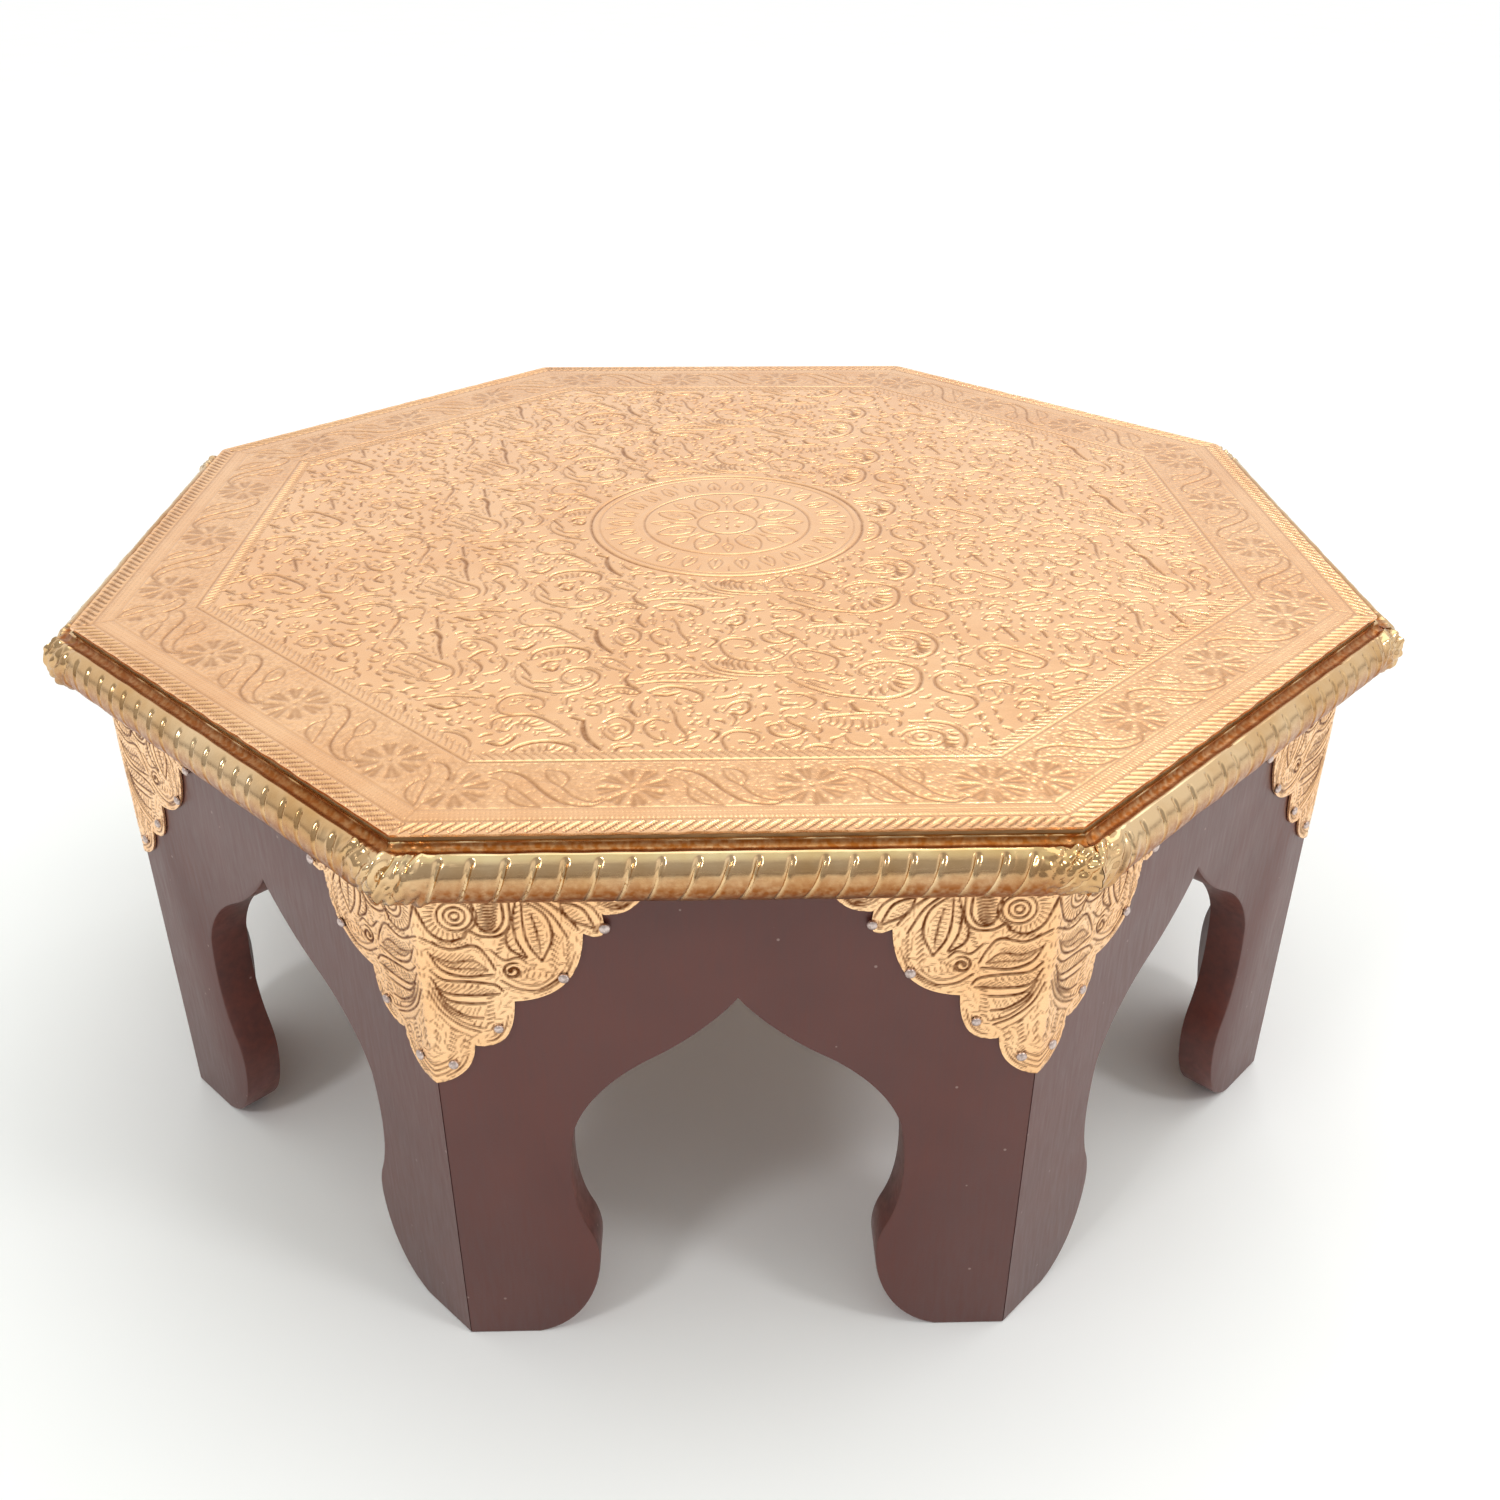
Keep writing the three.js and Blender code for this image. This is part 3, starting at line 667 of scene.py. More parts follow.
# %% The right end: double scroll, columns, ring scroll and hooks
def row_right():
    cuts = strokes(
        (1.3, (60.8, -23.6), (59.6, -19.8), (56.7, -18), (53.3, -20.7), (53.1, -25.7), (55.8, -29),
         (60.8, -31.5), (61.9, -35.7), (58.3, -39.2), (54.2, -39), (51.5, -35.7), (54, -33), (56.9, -34.8)),
        (1.9, (61.7, 11.4), (61.5, 8.8)), (2.0, (62, 5.4), (62.3, 2.6)), (2.0, (62.4, 0.6), (63.6, -1.6)),
        (2.1, (62, -4), (64.6, -2.8)), (1.3, (64.6, -6), (61.6, -8.2), (61, -11.6)),
        (1.3, (64.2, -30), (64, -25.7), (69.2, -23.8), (72.7, -25.7), (71.7, -30)),
        (1.2, (67, -27.6), (68, -31.4)), (1.2, (69.8, -27), (70.2, -30.6)),
        (1.3, (69.2, -12.3), (66.9, -7.3), (68.3, -3), (73.3, -2.1), (77.5, -4.8), (82.7, -9),
         (84.4, -12.5), (81.7, -15.9), (77.5, -14.8), (75, -13)),
        (1.2, (66.7, -15.5), (69.2, -19.2), (72.7, -17.1)), (1.4, (58.6, -12.2), (62, -13.6), (65, -16)),
        (1.4, (75.6, 11.4), (77.5, 6), (79.2, 0.6)), (2.0, (86.8, 7.2), (87.6, 3)),
        (1.8, (91.4, -1.8), (92.6, -6.7)), (1.7, (96.7, -2.6), (96.9, -6.3)),
        (1.2, (88.1, -10.5), (90.8, -15), (95.8, -14.2), (98.5, -7.1)), (1.2, (91.6, -9.6), (94.4, -12)),
        (1.3, (98.1, 8), (100.8, 2.5), (105, 0.8), (108.1, 4.3), (106.7, 7)),
        (1.2, (101.1, 22.7), (102, 26.8), (107.5, 28.9), (112.7, 26), (112.5, 22.5), (109.6, 21.6)),
        (1.5, (104.6, -3), (104, -6.4), (107, -8.4)), (1.3, (101, -10), (104, -14.6), (109, -12)),
        (1.2, (82.4, 22), (88, 24.4), (96.4, 26.6)), (1.2, (83, 19.6), (88.6, 21.2)),
        (1.3, (74, 22.6), (76.8, 25.6), (80.2, 24)), (1.2, (99, 17.4), (104, 15.2), (110, 16.6)),
        (1.2, (72, 15.8), (74, 18.4), (77.8, 17.4), (78.4, 14.2)),
        (1.1, (100, -20), (105, -17.4), (110.6, -18.6)),
        (1.3, (85.6, -19.4), (90, -17.6), (93.6, -19.6), (92, -22.8)), (1.2, (75.6, -21), (79.6, -19.4)),
    )
    cuts += feathers([(75.4, 10), (78.6, 1)], 5, 2.8, 55, 1.2)
    cuts += feathers([(75.4, 10), (78.6, 1)], 5, 2.8, -55, 1.2)
    cuts += feathers([(63.6, 20.6), (63, 11)], 7, 2.2, 60, 0.8)
    cuts += feathers([(67.4, 20), (67, 12)], 6, 2.2, -60, 0.8)
    cuts += feathers([(74, -19.6), (80, -21), (84, -19.4)], 5, 2.2, -80, 0.9)
    cuts += ring(70.9, -6.6, 2.1) + ring(94, 4.3, 3.1) + dots(1.6, (94, 4.3), (70.9, -6.6), (83.4, -3.4))
    cuts += dots(1.2, (87.5, 16.6), (85.6, 15), (89.4, 15), (86.4, 12.8), (88.8, 12.8), (87.5, 14.6))
    cuts += feathers([(101, 3.6), (104.6, 2.6), (106.8, 4.6)], 4, 2.0, 90, 0.8)
    return cuts


# %% The field: the row, filled up and repeated
ROW_HEIGHT = 52.5
ROW_WIDTH = 210.0
ROW_MIDDLE = (5.0, -91.0)
FIELD_REACH = 165
TRIES = 9000


def repeated(cuts):
    """The row's cuts over the whole octagon, leaving out copies that fall wholly outside it."""
    copies = []
    for column in (-1, 0, 1):
        for row in range(-2, 6):
            dx, dy = column * ROW_WIDTH, ROW_MIDDLE[1] + row * ROW_HEIGHT
            for path, half, depth, wall in cuts:
                x, y = path[0] + (dx, dy)
                if abs(x) < FIELD_REACH and abs(y) < FIELD_REACH:
                    copies.append((path + (dx, dy), half, depth, wall))
    return copies


def filled(depths, low, pitch, box, gap, crowding, stroke, generator):
    """Copies of a stroke laid along their neighbours where the ground's crowding is in range."""
    crowd = blurred(depths, 0.45 * gap / pitch)
    slope_y, slope_x = np.gradient(crowd)
    x, y = (generator.uniform(a, b, TRIES) for a, b in zip(*box))
    spot = (low, pitch, x, y)
    turns = np.degrees(np.arctan2(read(slope_y, *spot), read(slope_x, *spot))) + 90
    near = read(crowd, *spot)
    chosen = (near > crowding[0]) & (near < crowding[1])
    taken = np.full((1, 2), 1e3)
    cuts = []
    for place, turn in zip(np.stack([x, y], axis=1)[chosen], turns[chosen]):
        if np.hypot(*(taken - place).T).min() > gap:
            taken = np.vstack([taken, place])
            cuts += placed(stroke, *place, turn)
    return cuts


row = row_left() + row_middle_left() + row_middle() + row_middle_right() + row_right()
print("cuts in a row:", len(row))

# %% [markdown]
# ## The medallion
# In the middle sit two outer rings, a band of small leaves, an inner ring with eight petals,
# and a ring of dots round a dot. Everything here is a loop over equal angles.

# %% Medallion
MEDALLION_EDGE = 45.7
LEAF_COUNT = 26
PETAL_COUNT = 8
PETAL_TURN = 360 / PETAL_COUNT


def medallion_cuts():
    cuts = [arc(44.2, 0, 360, 1.25, 0.42), arc(41.6, 0, 360, 0.75, 0.28)]
    cuts += [arc(27.0, 0, 360, 1.0, 0.34), arc(29.2, 0, 360, 0.5, 0.14), arc(9.6, 0, 360, 0.95, 0.34)]
    for i in range(LEAF_COUNT):
        turn = 360 * i / LEAF_COUNT
        outline = [(30.6, -1.2), (34, -2.1), (38.6, 0), (34, 2.1), (30.6, 1.2)]
        cuts += placed([cut(outline, 0.85, 0.3)], turn=turn)
        cuts += placed([cut([(31.6, 0), (35.8, 0)], (1.5, 0.4), 0.34)], turn=turn)
        cuts += placed([cut([(35.6, 0), (39.6, 0)], (0.4, 1.1), 0.3)], turn=turn + 180 / LEAF_COUNT)
    for i in range(PETAL_COUNT):
        turn = (i + 0.5) * PETAL_TURN
        outline = [(11, 0), (14.5, 3.4), (20, 3.2), (24.4, 0), (20, -3.2), (14.5, -3.4), (11, 0)]
        cuts += placed([cut(outline, 0.9, 0.32), cut([(12.5, 0), (21.5, 0)], (0.5, 1.0, 0.4), 0.26)],
                       turn=turn)
        for step in (14.5, 17.0, 19.5):
            for side in (-1, 1):
                vein = [cut([(step, side * 0.4), (step + 1.6, side * 1.8)], (0.7, 0.35), 0.24)]
                cuts += placed(vein, turn=turn)
        small = [cut([(17.5, 0), (20.5, 1.7), (24.8, 0), (20.5, -1.7), (17.5, 0)], 0.75, 0.28),
                 cut([(12, 0), (16.5, 0)], (0.4, 1.2), 0.28), dot(21.4, 0, 1.3, 0.32)]
        cuts += placed(small, turn=turn + PETAL_TURN / 2)
    cuts += [dot(0, 0, 1.8, 0.34)]
    for i in range(PETAL_COUNT):
        cuts += placed([cut([(3.6, 0), (5.2, 0)], (1.0, 1.5), 0.32)], turn=i * PETAL_TURN)
        cuts += placed([dot(7.4, 0, 0.9, 0.24)], turn=(i + 0.5) * PETAL_TURN)
    return cuts


# %% [markdown]
# ## The border
# Each side of the octagon carries the same strip, drawn about a side that faces the front, with
# x along the side and y the distance in from the middle as a negative number. From the inside
# out: a row of slanting ticks, a line, flowers on an S-shaped stem over a stippled ground, a
# line, rows of dots, a line, and a twisted rope at the edge. Wedge petals are pressed flat.
# Work by hand isn't regular: on two sides the rope is laid the other way, and on three sides the
# row of flowers starts nearer the middle.

# %% Border strip
LINE_INNER = 153.5
LINE_DOTS = 174.4
LINE_ROPE = 179.3
FLOWER_AT = 165.6
FLOWER_PITCH = 41.4
FLOWER_SHIFT = {5: 0.2, 6: 0.2, 7: 0.2}
USUAL_SHIFT = 0.42
ROPE_PITCH = 2.8
ROPE_TURNED = (1, 5)
TICK_PITCH = 2.35
STIPPLE_COUNT = 6400
DOT_ROWS = (175.3, 176.4, 177.7, 178.6)
DOT_PITCH = 1.15


def flower():
    """Eight wedge petals, matted flat, round a bead."""
    cuts = [dot(0, 0, 1.7, 0.34)]
    for i in range(PETAL_COUNT):
        for spread in (-1, 1):
            half_petal = [cut([(2.7, spread * 0.25), (7.5, spread * 1.05)], (0.8, 2.1), 0.26, 0.4)]
            cuts += placed(half_petal, turn=i * PETAL_TURN + 12)
    return cuts


def stem():
    """From one flower over to the next, with a leaf hanging and a leaf rising."""
    return [
        cut([(7.5, 6.4), (11, 7.8), (16, 5.2), (21.5, -2.4), (26, -6.6), (32, -7.9), (35.5, -5.6)],
            (0.6, 1.15, 1.0, 0.7), 0.34),
        cut([(7.8, 5.2), (11.5, 3.0), (13.5, -0.2)], (0.6, 0.9), 0.28),
        cut([(12.6, -0.4), (12.9, -4), (16, -7.2), (20.8, -8.2)], (0.6, 1.0, 0.6), 0.3),
        cut([(14.4, -0.2), (17.2, -3.6), (20.8, -8.2)], (0.6, 1.0, 0.6), 0.3),
        cut([(14.2, -3), (16, -5), (18, -6.6)], (0.8, 0.4), 0.2),
        cut([(20.6, 8.4), (21.6, 4), (25.2, 0.2)], (0.5, 1.0, 0.7), 0.3),
        cut([(20.6, 8.4), (24.4, 7.4), (26.4, 4), (25.2, 0.2)], (0.5, 1.0, 0.7), 0.3),
        cut([(22.6, 6.2), (24.6, 2.4)], (0.9, 0.4), 0.22),
        cut([(25.2, 0.2), (28, -3.8), (32.4, -6.2), (34.6, -5)], (0.9, 0.8), 0.3),
    ]


def long_line(distance, width, depth):
    half = distance * TAN
    return cut([(-half, -distance), (half, -distance)], width, depth)


def border_side_cuts(twist, shift):
    """One side's strip; twist is the way its rope is laid, shift is where its first flower stands."""
    cuts = [long_line(LINE_DOTS, 0.7, 0.26), long_line(LINE_ROPE, 0.8, 0.3), long_line(177.0, 0.4, 0.1)]
    cuts += [long_line(LINE_INNER, 0.9, 0.34)]
    for i in range(-3, 4):
        x = (i + shift) * FLOWER_PITCH
        cuts += placed(flower() + broader(stem(), 1.15, 1.1), x, -FLOWER_AT)
    for i in range(-28, 29):
        x = i * ROPE_PITCH
        cuts += [cut([(x - 1.9 * twist, -184.2), (x - 0.4 * twist, -182.6), (x + 1.9 * twist, -180.2)],
                     (0.7, 1.15, 0.7), 0.46)]
        cuts += [cut([(x + 0.2 * twist, -183.6), (x + 1.5 * twist, -182.2)], (0.5, 0.5), 0.26)]
    for i in range(-32, 33):
        x = i * TICK_PITCH
        cuts += [cut([(x - 1.4, -149.2), (x + 1.4, -152.4)], (0.7, 1.1, 0.6), 0.36)]
        cuts += [cut([(x - 0.2, -149.0), (x + 1.1, -150.4)], (0.5, 0.7), 0.26)]
    return cuts


def punched_ground(generator):
    """Stippling between the motifs and rows of dots, as single punches."""
    x = generator.uniform(-77, 77, STIPPLE_COUNT)
    y = -generator.uniform(LINE_INNER + 1, LINE_DOTS - 0.8, STIPPLE_COUNT)
    ground = np.stack([x, y, *(np.full(STIPPLE_COUNT, size) for size in (0.45, 0.19, 0.45))])
    rows = []
    for distance in DOT_ROWS:
        along = np.arange(-80, 80, DOT_PITCH) + (distance % 1.0)
        rows.append(np.stack([along, np.full_like(along, -distance), np.full_like(along, 0.48),
                              np.full_like(along, 0.22), np.full_like(along, 0.48)]))
    return np.concatenate([ground, *rows], axis=1)


# %% [markdown]
# ## Pressing the whole top
# The eight border strips are turned into place and trimmed to their own eighth, the field is
# trimmed inside them and outside the medallion, and a line marks each mitre. The result is one
# grid of depths for the whole sheet, and a height made from it.

# %% The top's height
TOP_PITCH = 0.25
TOP_REACH = SHEET_APOTHEM + 1.5
TOP_LOW = (-TOP_REACH, -TOP_REACH)
TOP_HIGH = (TOP_REACH, TOP_REACH)
FIELD_EDGE = 148.6
random = np.random.default_rng(15)


def side_distance(x, y):
    """How far out a point lies, measured square to the side it faces."""
    angles = np.arange(SIDES) * SIDE_TURN
    return np.max([x * math.cos(a) + y * math.sin(a) for a in angles], axis=0)


def turned_punches(punches, angle):
    x, y = punches[0], punches[1]
    c, s = math.cos(angle), math.sin(angle)
    return np.stack([c * x - s * y, s * x + c * y, *punches[2:]])


def border_punches():
    sets = []
    for side in range(SIDES):
        cuts = border_side_cuts(-1 if side in ROPE_TURNED else 1, FLOWER_SHIFT.get(side, USUAL_SHIFT))
        strip = np.concatenate([samples_of(cuts), punched_ground(random)], axis=1)
        inside = np.abs(strip[0]) < -strip[1] * TAN - 0.2
        sets.append(turned_punches(strip[:, inside], side * SIDE_TURN))
    mitre = samples_of([cut([(0, -LINE_INNER / COS), (0, -SHEET_APOTHEM / COS)], 0.7, 0.22)])
    sets += [turned_punches(mitre, (side + 0.5) * SIDE_TURN) for side in range(SIDES)]
    return np.concatenate(sets, axis=1)


def field_punches(cuts):
    punches = samples_of(cuts)
    out = side_distance(punches[0], punches[1])
    middle = np.hypot(punches[0], punches[1])
    return punches[:, (out < FIELD_EDGE) & (middle > MEDALLION_EDGE + 0.8)]


border = border_punches()
bare_row = press(samples_of(repeated(row)), TOP_LOW, TOP_HIGH, TOP_PITCH)
half_row = np.array([ROW_WIDTH, ROW_HEIGHT]) / 2
row_box = (ROW_MIDDLE - half_row, ROW_MIDDLE + half_row)
filler = []
for gap, crowding, stroke in (
    (1.9, (0.035, 0.07), strokes((0.75, (-1.0, 0), (0, 0.15), (1.0, 0)))),
    (4.2, (0.0, 0.025), strokes((1.2, (-1.7, 0), (0, 0.7), (1.7, 0)))),
):
    added = filled(bare_row, TOP_LOW, TOP_PITCH, row_box, gap, crowding, stroke, random)
    filler += placed(added, 0, -ROW_MIDDLE[1])
field = field_punches(repeated(row + filler))
medallion = samples_of(medallion_cuts())
print("small strokes that fill out the row:", len(filler))
punches = np.concatenate([border, field, medallion], axis=1)
pressed_top = press(punches, TOP_LOW, TOP_HIGH, TOP_PITCH)
top_depth, top_height = pillowed(pressed_top, TOP_PITCH, soft=0.18, share=0.75, reach=1.3)
print(f"punches pressed into the top: {punches.shape[1]}, deepest {top_depth.max():.2f} mm")


# %% [markdown]
# ## Sheets from grids
# A grid primitive is a flat net of squares. It is bent over its zone of the table, lifted by
# the depth grid, and closed below by pushing its rim down to the board and filling underneath.
# Each zone gets the net that suits it: squares for the field, a spun disc for the medallion so
# its rings stay round, and strips along each side so the border's lines stay straight.


# %% Shading a pressed sheet
def use_normals(item, normals, on_front):
    """Shades the front by the given point normals, and every other face as a flat one."""
    mesh = item.data
    corner_points = np.empty(len(mesh.loops), int)
    mesh.loops.foreach_get("vertex_index", corner_points)
    face_normals = np.empty(len(mesh.polygons) * 3)
    mesh.polygons.foreach_get("normal", face_normals)
    face_size = np.empty(len(mesh.polygons), int)
    mesh.polygons.foreach_get("loop_total", face_size)
    starts = np.concatenate([[0], np.cumsum(face_size)[:-1]])
    all_front = np.logical_and.reduceat(on_front[corner_points], starts)
    per_corner = np.repeat(face_normals.reshape(-1, 3), face_size, axis=0)
    chosen = np.repeat(all_front, face_size)
    per_corner[chosen] = normals[corner_points][chosen]
    mesh.normals_split_custom_set(per_corner.tolist())


# %% Lifting and closing a sheet
def gradient_normals(x, y):
    """Surface directions of the pressed top, from the grid's own slopes."""
    slope_y, slope_x = np.gradient(top_height, TOP_PITCH)
    along_x = read(slope_x, TOP_LOW, TOP_PITCH, x, y)
    along_y = read(slope_y, TOP_LOW, TOP_PITCH, x, y)
    normals = np.stack([-along_x, -along_y, np.ones_like(along_x)], axis=1)
    return normals / np.linalg.norm(normals, axis=1)[:, None]


def close_below(item, level):
    """Pushes the open rim of an upward-facing sheet down to a level and fills underneath."""
    only(item)
    bpy.ops.object.mode_set(mode="EDIT")
    bpy.ops.mesh.select_mode(type="EDGE")
    bpy.ops.mesh.select_all(action="DESELECT")
    bpy.ops.mesh.select_non_manifold()
    bpy.ops.mesh.extrude_edges_move()
    bpy.ops.object.mode_set(mode="OBJECT")
    points = points_of(item)
    points[picked(item), 2] = level
    move_points(item, points)
    bpy.ops.object.mode_set(mode="EDIT")
    bpy.ops.mesh.edge_face_add()
    bpy.ops.mesh.select_all(action="SELECT")
    bpy.ops.mesh.normals_make_consistent(inside=False)
    bpy.ops.object.mode_set(mode="OBJECT")


def emboss(item):
    """Lifts a flat net by the pressed top, closes it, and gives it the grid's own normals."""
    points = points_of(item)
    x, y = points[:, 0], points[:, 1]
    points[:, 2] = TOP_Z + read(top_height, TOP_LOW, TOP_PITCH, x, y)
    move_points(item, points)
    close_below(item, BOARD_TOP)
    points = points_of(item)
    x, y = points[:, 0], points[:, 1]
    point_attribute(item, "groove", read(top_depth, TOP_LOW, TOP_PITCH, x, y))
    only(item)
    bpy.ops.object.shade_smooth()
    use_normals(item, gradient_normals(x, y), points[:, 2] > BOARD_TOP + 0.1)
    return item


# %% The border strips
BORDER_STEP = 0.5


def border_strip(side):
    rows = int((SHEET_APOTHEM - LINE_INNER) / BORDER_STEP)
    columns = int(2 * SHEET_APOTHEM * TAN / BORDER_STEP)
    strip = flat_net(columns, rows)
    across, inward, _ = points_of(strip).T
    distance = SHEET_APOTHEM + (inward - 1) / 2 * (SHEET_APOTHEM - LINE_INNER)
    ragged = 0.12 * np.sin(across * 61 + side) + 0.1 * np.sin(across * 23 + 2 * side)
    distance = np.where(inward > 0.999, distance + ragged * (1 - across ** 2), distance)
    flat = np.stack([across * distance * TAN, -distance, np.full_like(distance, TOP_Z)], axis=1)
    move_points(strip, turned(flat, side * SIDE_TURN))
    turn_faces_out(strip)
    return own(emboss(strip), f"top_border_{side + 1}", EMBOSSED_BRASS, "brass_top", "top_sheet")


for side in range(SIDES):
    strip = border_strip(side)
print("border strips:", SIDES, "with", len(strip.data.polygons), "faces each")

# %% The medallion disc
RADIAL_STEPS = 84
ROUND_STEPS = 480
HUB_RADIUS = 0.5

disc = flat_net(RADIAL_STEPS, 1)
bpy.ops.object.mode_set(mode="EDIT")
bpy.ops.mesh.select_all(action="DESELECT")
bpy.ops.object.mode_set(mode="OBJECT")
for vertex in disc.data.vertices:
    vertex.select = vertex.co.y > 0
bpy.ops.object.mode_set(mode="EDIT")
bpy.ops.mesh.delete(type="VERT")
bpy.ops.object.mode_set(mode="OBJECT")
spoke = points_of(disc)
radius = HUB_RADIUS + (spoke[:, 0] + 1) / 2 * (MEDALLION_EDGE - HUB_RADIUS)
move_points(disc, np.stack([radius, np.zeros_like(radius), np.full_like(radius, TOP_Z)], axis=1))
bpy.ops.object.mode_set(mode="EDIT")
bpy.ops.mesh.select_all(action="SELECT")
bpy.ops.mesh.spin(steps=ROUND_STEPS, angle=2 * math.pi, center=(0, 0, 0), axis=(0, 0, 1))
bpy.ops.mesh.select_all(action="SELECT")
bpy.ops.mesh.remove_doubles(threshold=0.0004 * MM)
bpy.ops.mesh.select_mode(type="EDGE")
bpy.ops.mesh.select_all(action="DESELECT")
bpy.ops.object.mode_set(mode="OBJECT")
hub = np.hypot(*points_of(disc)[:, :2].T) < HUB_RADIUS + 0.01
for edge in disc.data.edges:
    edge.select = bool(hub[edge.vertices[0]] and hub[edge.vertices[1]])
bpy.ops.object.mode_set(mode="EDIT")
bpy.ops.mesh.edge_face_add()
bpy.ops.mesh.poke()
bpy.ops.mesh.select_all(action="SELECT")
bpy.ops.mesh.normals_make_consistent(inside=False)
bpy.ops.object.mode_set(mode="OBJECT")
own(emboss(disc), "top_medallion", EMBOSSED_BRASS, "brass_top", "top_sheet")
print("medallion faces:", len(disc.data.polygons))

# %% The field's four quarters
FIELD_STEP = 0.5
QUARTERS = ((1, -1), (1, 1), (-1, 1), (-1, -1))


def field_quarter(index):
    """A square net from the middle outwards, cut to the octagon and fitted round the medallion."""
    count = int(LINE_INNER / FIELD_STEP)
    quarter = flat_net(count, count, LINE_INNER * MM)
    sign_x, sign_y = QUARTERS[index]
    points = points_of(quarter)
    points += (sign_x * LINE_INNER / 2, sign_y * LINE_INNER / 2, TOP_Z)
    move_points(quarter, points)
    bpy.ops.object.mode_set(mode="EDIT")
    bpy.ops.mesh.select_all(action="SELECT")
    bpy.ops.mesh.bisect(
        plane_co=(sign_x * LINE_INNER * MM / math.sqrt(2), sign_y * LINE_INNER * MM / math.sqrt(2), 0),
        plane_no=(sign_x, sign_y, 0), clear_outer=True, threshold=1e-7)
    bpy.ops.mesh.select_mode(type="FACE")
    bpy.ops.mesh.select_all(action="DESELECT")
    bpy.ops.object.mode_set(mode="OBJECT")
    away = np.hypot(*points_of(quarter)[:, :2].T)
    for face in quarter.data.polygons:
        face.select = all(away[v] < MEDALLION_EDGE for v in face.vertices)
    bpy.ops.object.mode_set(mode="EDIT")
    bpy.ops.mesh.delete(type="FACE")
    bpy.ops.object.mode_set(mode="OBJECT")
    points = points_of(quarter)
    away = np.hypot(points[:, 0], points[:, 1])
    near = away < MEDALLION_EDGE
    points[near, :2] *= (MEDALLION_EDGE / away[near])[:, None]
    move_points(quarter, points)
    return own(emboss(quarter), f"top_field_{index + 1}", EMBOSSED_BRASS, "brass_top", "top_sheet")


for index in range(len(QUARTERS)):
    quarter = field_quarter(index)
print("field quarters:", len(QUARTERS), "with", len(quarter.data.polygons), "faces each")

# %% [markdown]
# ## Rim strips: thin brass dressed over a moulding
# Each side's moulding, a small hollow and a half-round below it, is wrapped in its own strip of
# brass. The strip is hammered over a ribbed block, so it carries slanting ribs with round
# heads, and near each corner the spare metal puffs out and is crumpled into long folds and
# shorter creases, with one strip lapped over the next. One net is wrapped right round the
# strip's section, front and back, and its ends are filled on the mitre.

# %% The moulding's section
GAP = 0.3
BRASS_THICK = TOP_Z - BOARD_TOP
SKIN = GAP + BRASS_THICK
BEAD_RADIUS = 6.5
BEAD_MIDDLE = (SHEET_APOTHEM + 0.5, BOARD_BOTTOM + 6.5)
COVE_RADIUS = 2.6
COVE_MIDDLE = (SHEET_APOTHEM + 2.1, BOARD_TOP - 1.0)
LIP_END = SHEET_APOTHEM - 4.2
COVE_TURN = (180, 300)
BEAD_TURN = (62, -90)


def moulding(outset, cove_steps, bead_steps, lip_steps):
    """The section as (distance out, height), and the bead's angle at each point."""
    cove = np.linspace(*COVE_TURN, cove_steps)
    bead = np.linspace(*BEAD_TURN, bead_steps)
    lip = np.linspace(BEAD_MIDDLE[0], LIP_END, lip_steps + 1)[1:]
    hollow, round_ = np.radians(cove), np.radians(bead)
    inner, outer = COVE_RADIUS - outset, BEAD_RADIUS + outset
    out = np.concatenate([COVE_MIDDLE[0] + inner * np.cos(hollow),
                          BEAD_MIDDLE[0] + outer * np.cos(round_), lip])
    height = np.concatenate([COVE_MIDDLE[1] + inner * np.sin(hollow),
                             BEAD_MIDDLE[1] + outer * np.sin(round_),
                             np.full(len(lip), BOARD_BOTTOM - outset)])
    angle = np.concatenate([np.full(len(cove), 90.0), bead, np.full(len(lip), -90.0)])
    return out, height, angle


def wobble(x, y, wavelength, seed, waves=7):
    """Smooth unevenness between about -1 and 1, like that of a hammered sheet."""
    generator = np.random.default_rng(seed)
    total = np.zeros(np.broadcast(x, y).shape)
    for _ in range(waves):
        heading, phase = generator.uniform(0, 2 * math.pi, 2)
        length = wavelength * generator.uniform(0.7, 1.5)
        total += np.sin((x * math.cos(heading) + y * math.sin(heading)) * 2 * math.pi / length + phase)
    return total / math.sqrt(waves)


# %% Ribs and pleats
RIB_PITCH = 6.9
RIB_HEIGHT = 0.72
RIB_HEAD = 49
RIB_FOOT = -66
CORNER_PLAIN = 12.0
PUFF = 0.85
FOLD_LENGTH = 6.8
FOLD_DEPTH = 1.08
CREASE_LENGTH = 4.4
CREASE_DEPTH = 0.495
LAP_HEIGHT = 0.22
LAP_REACH = 11
RIB_SLANT = {1: 5.2, 2: 1.6, 8: -1.2}


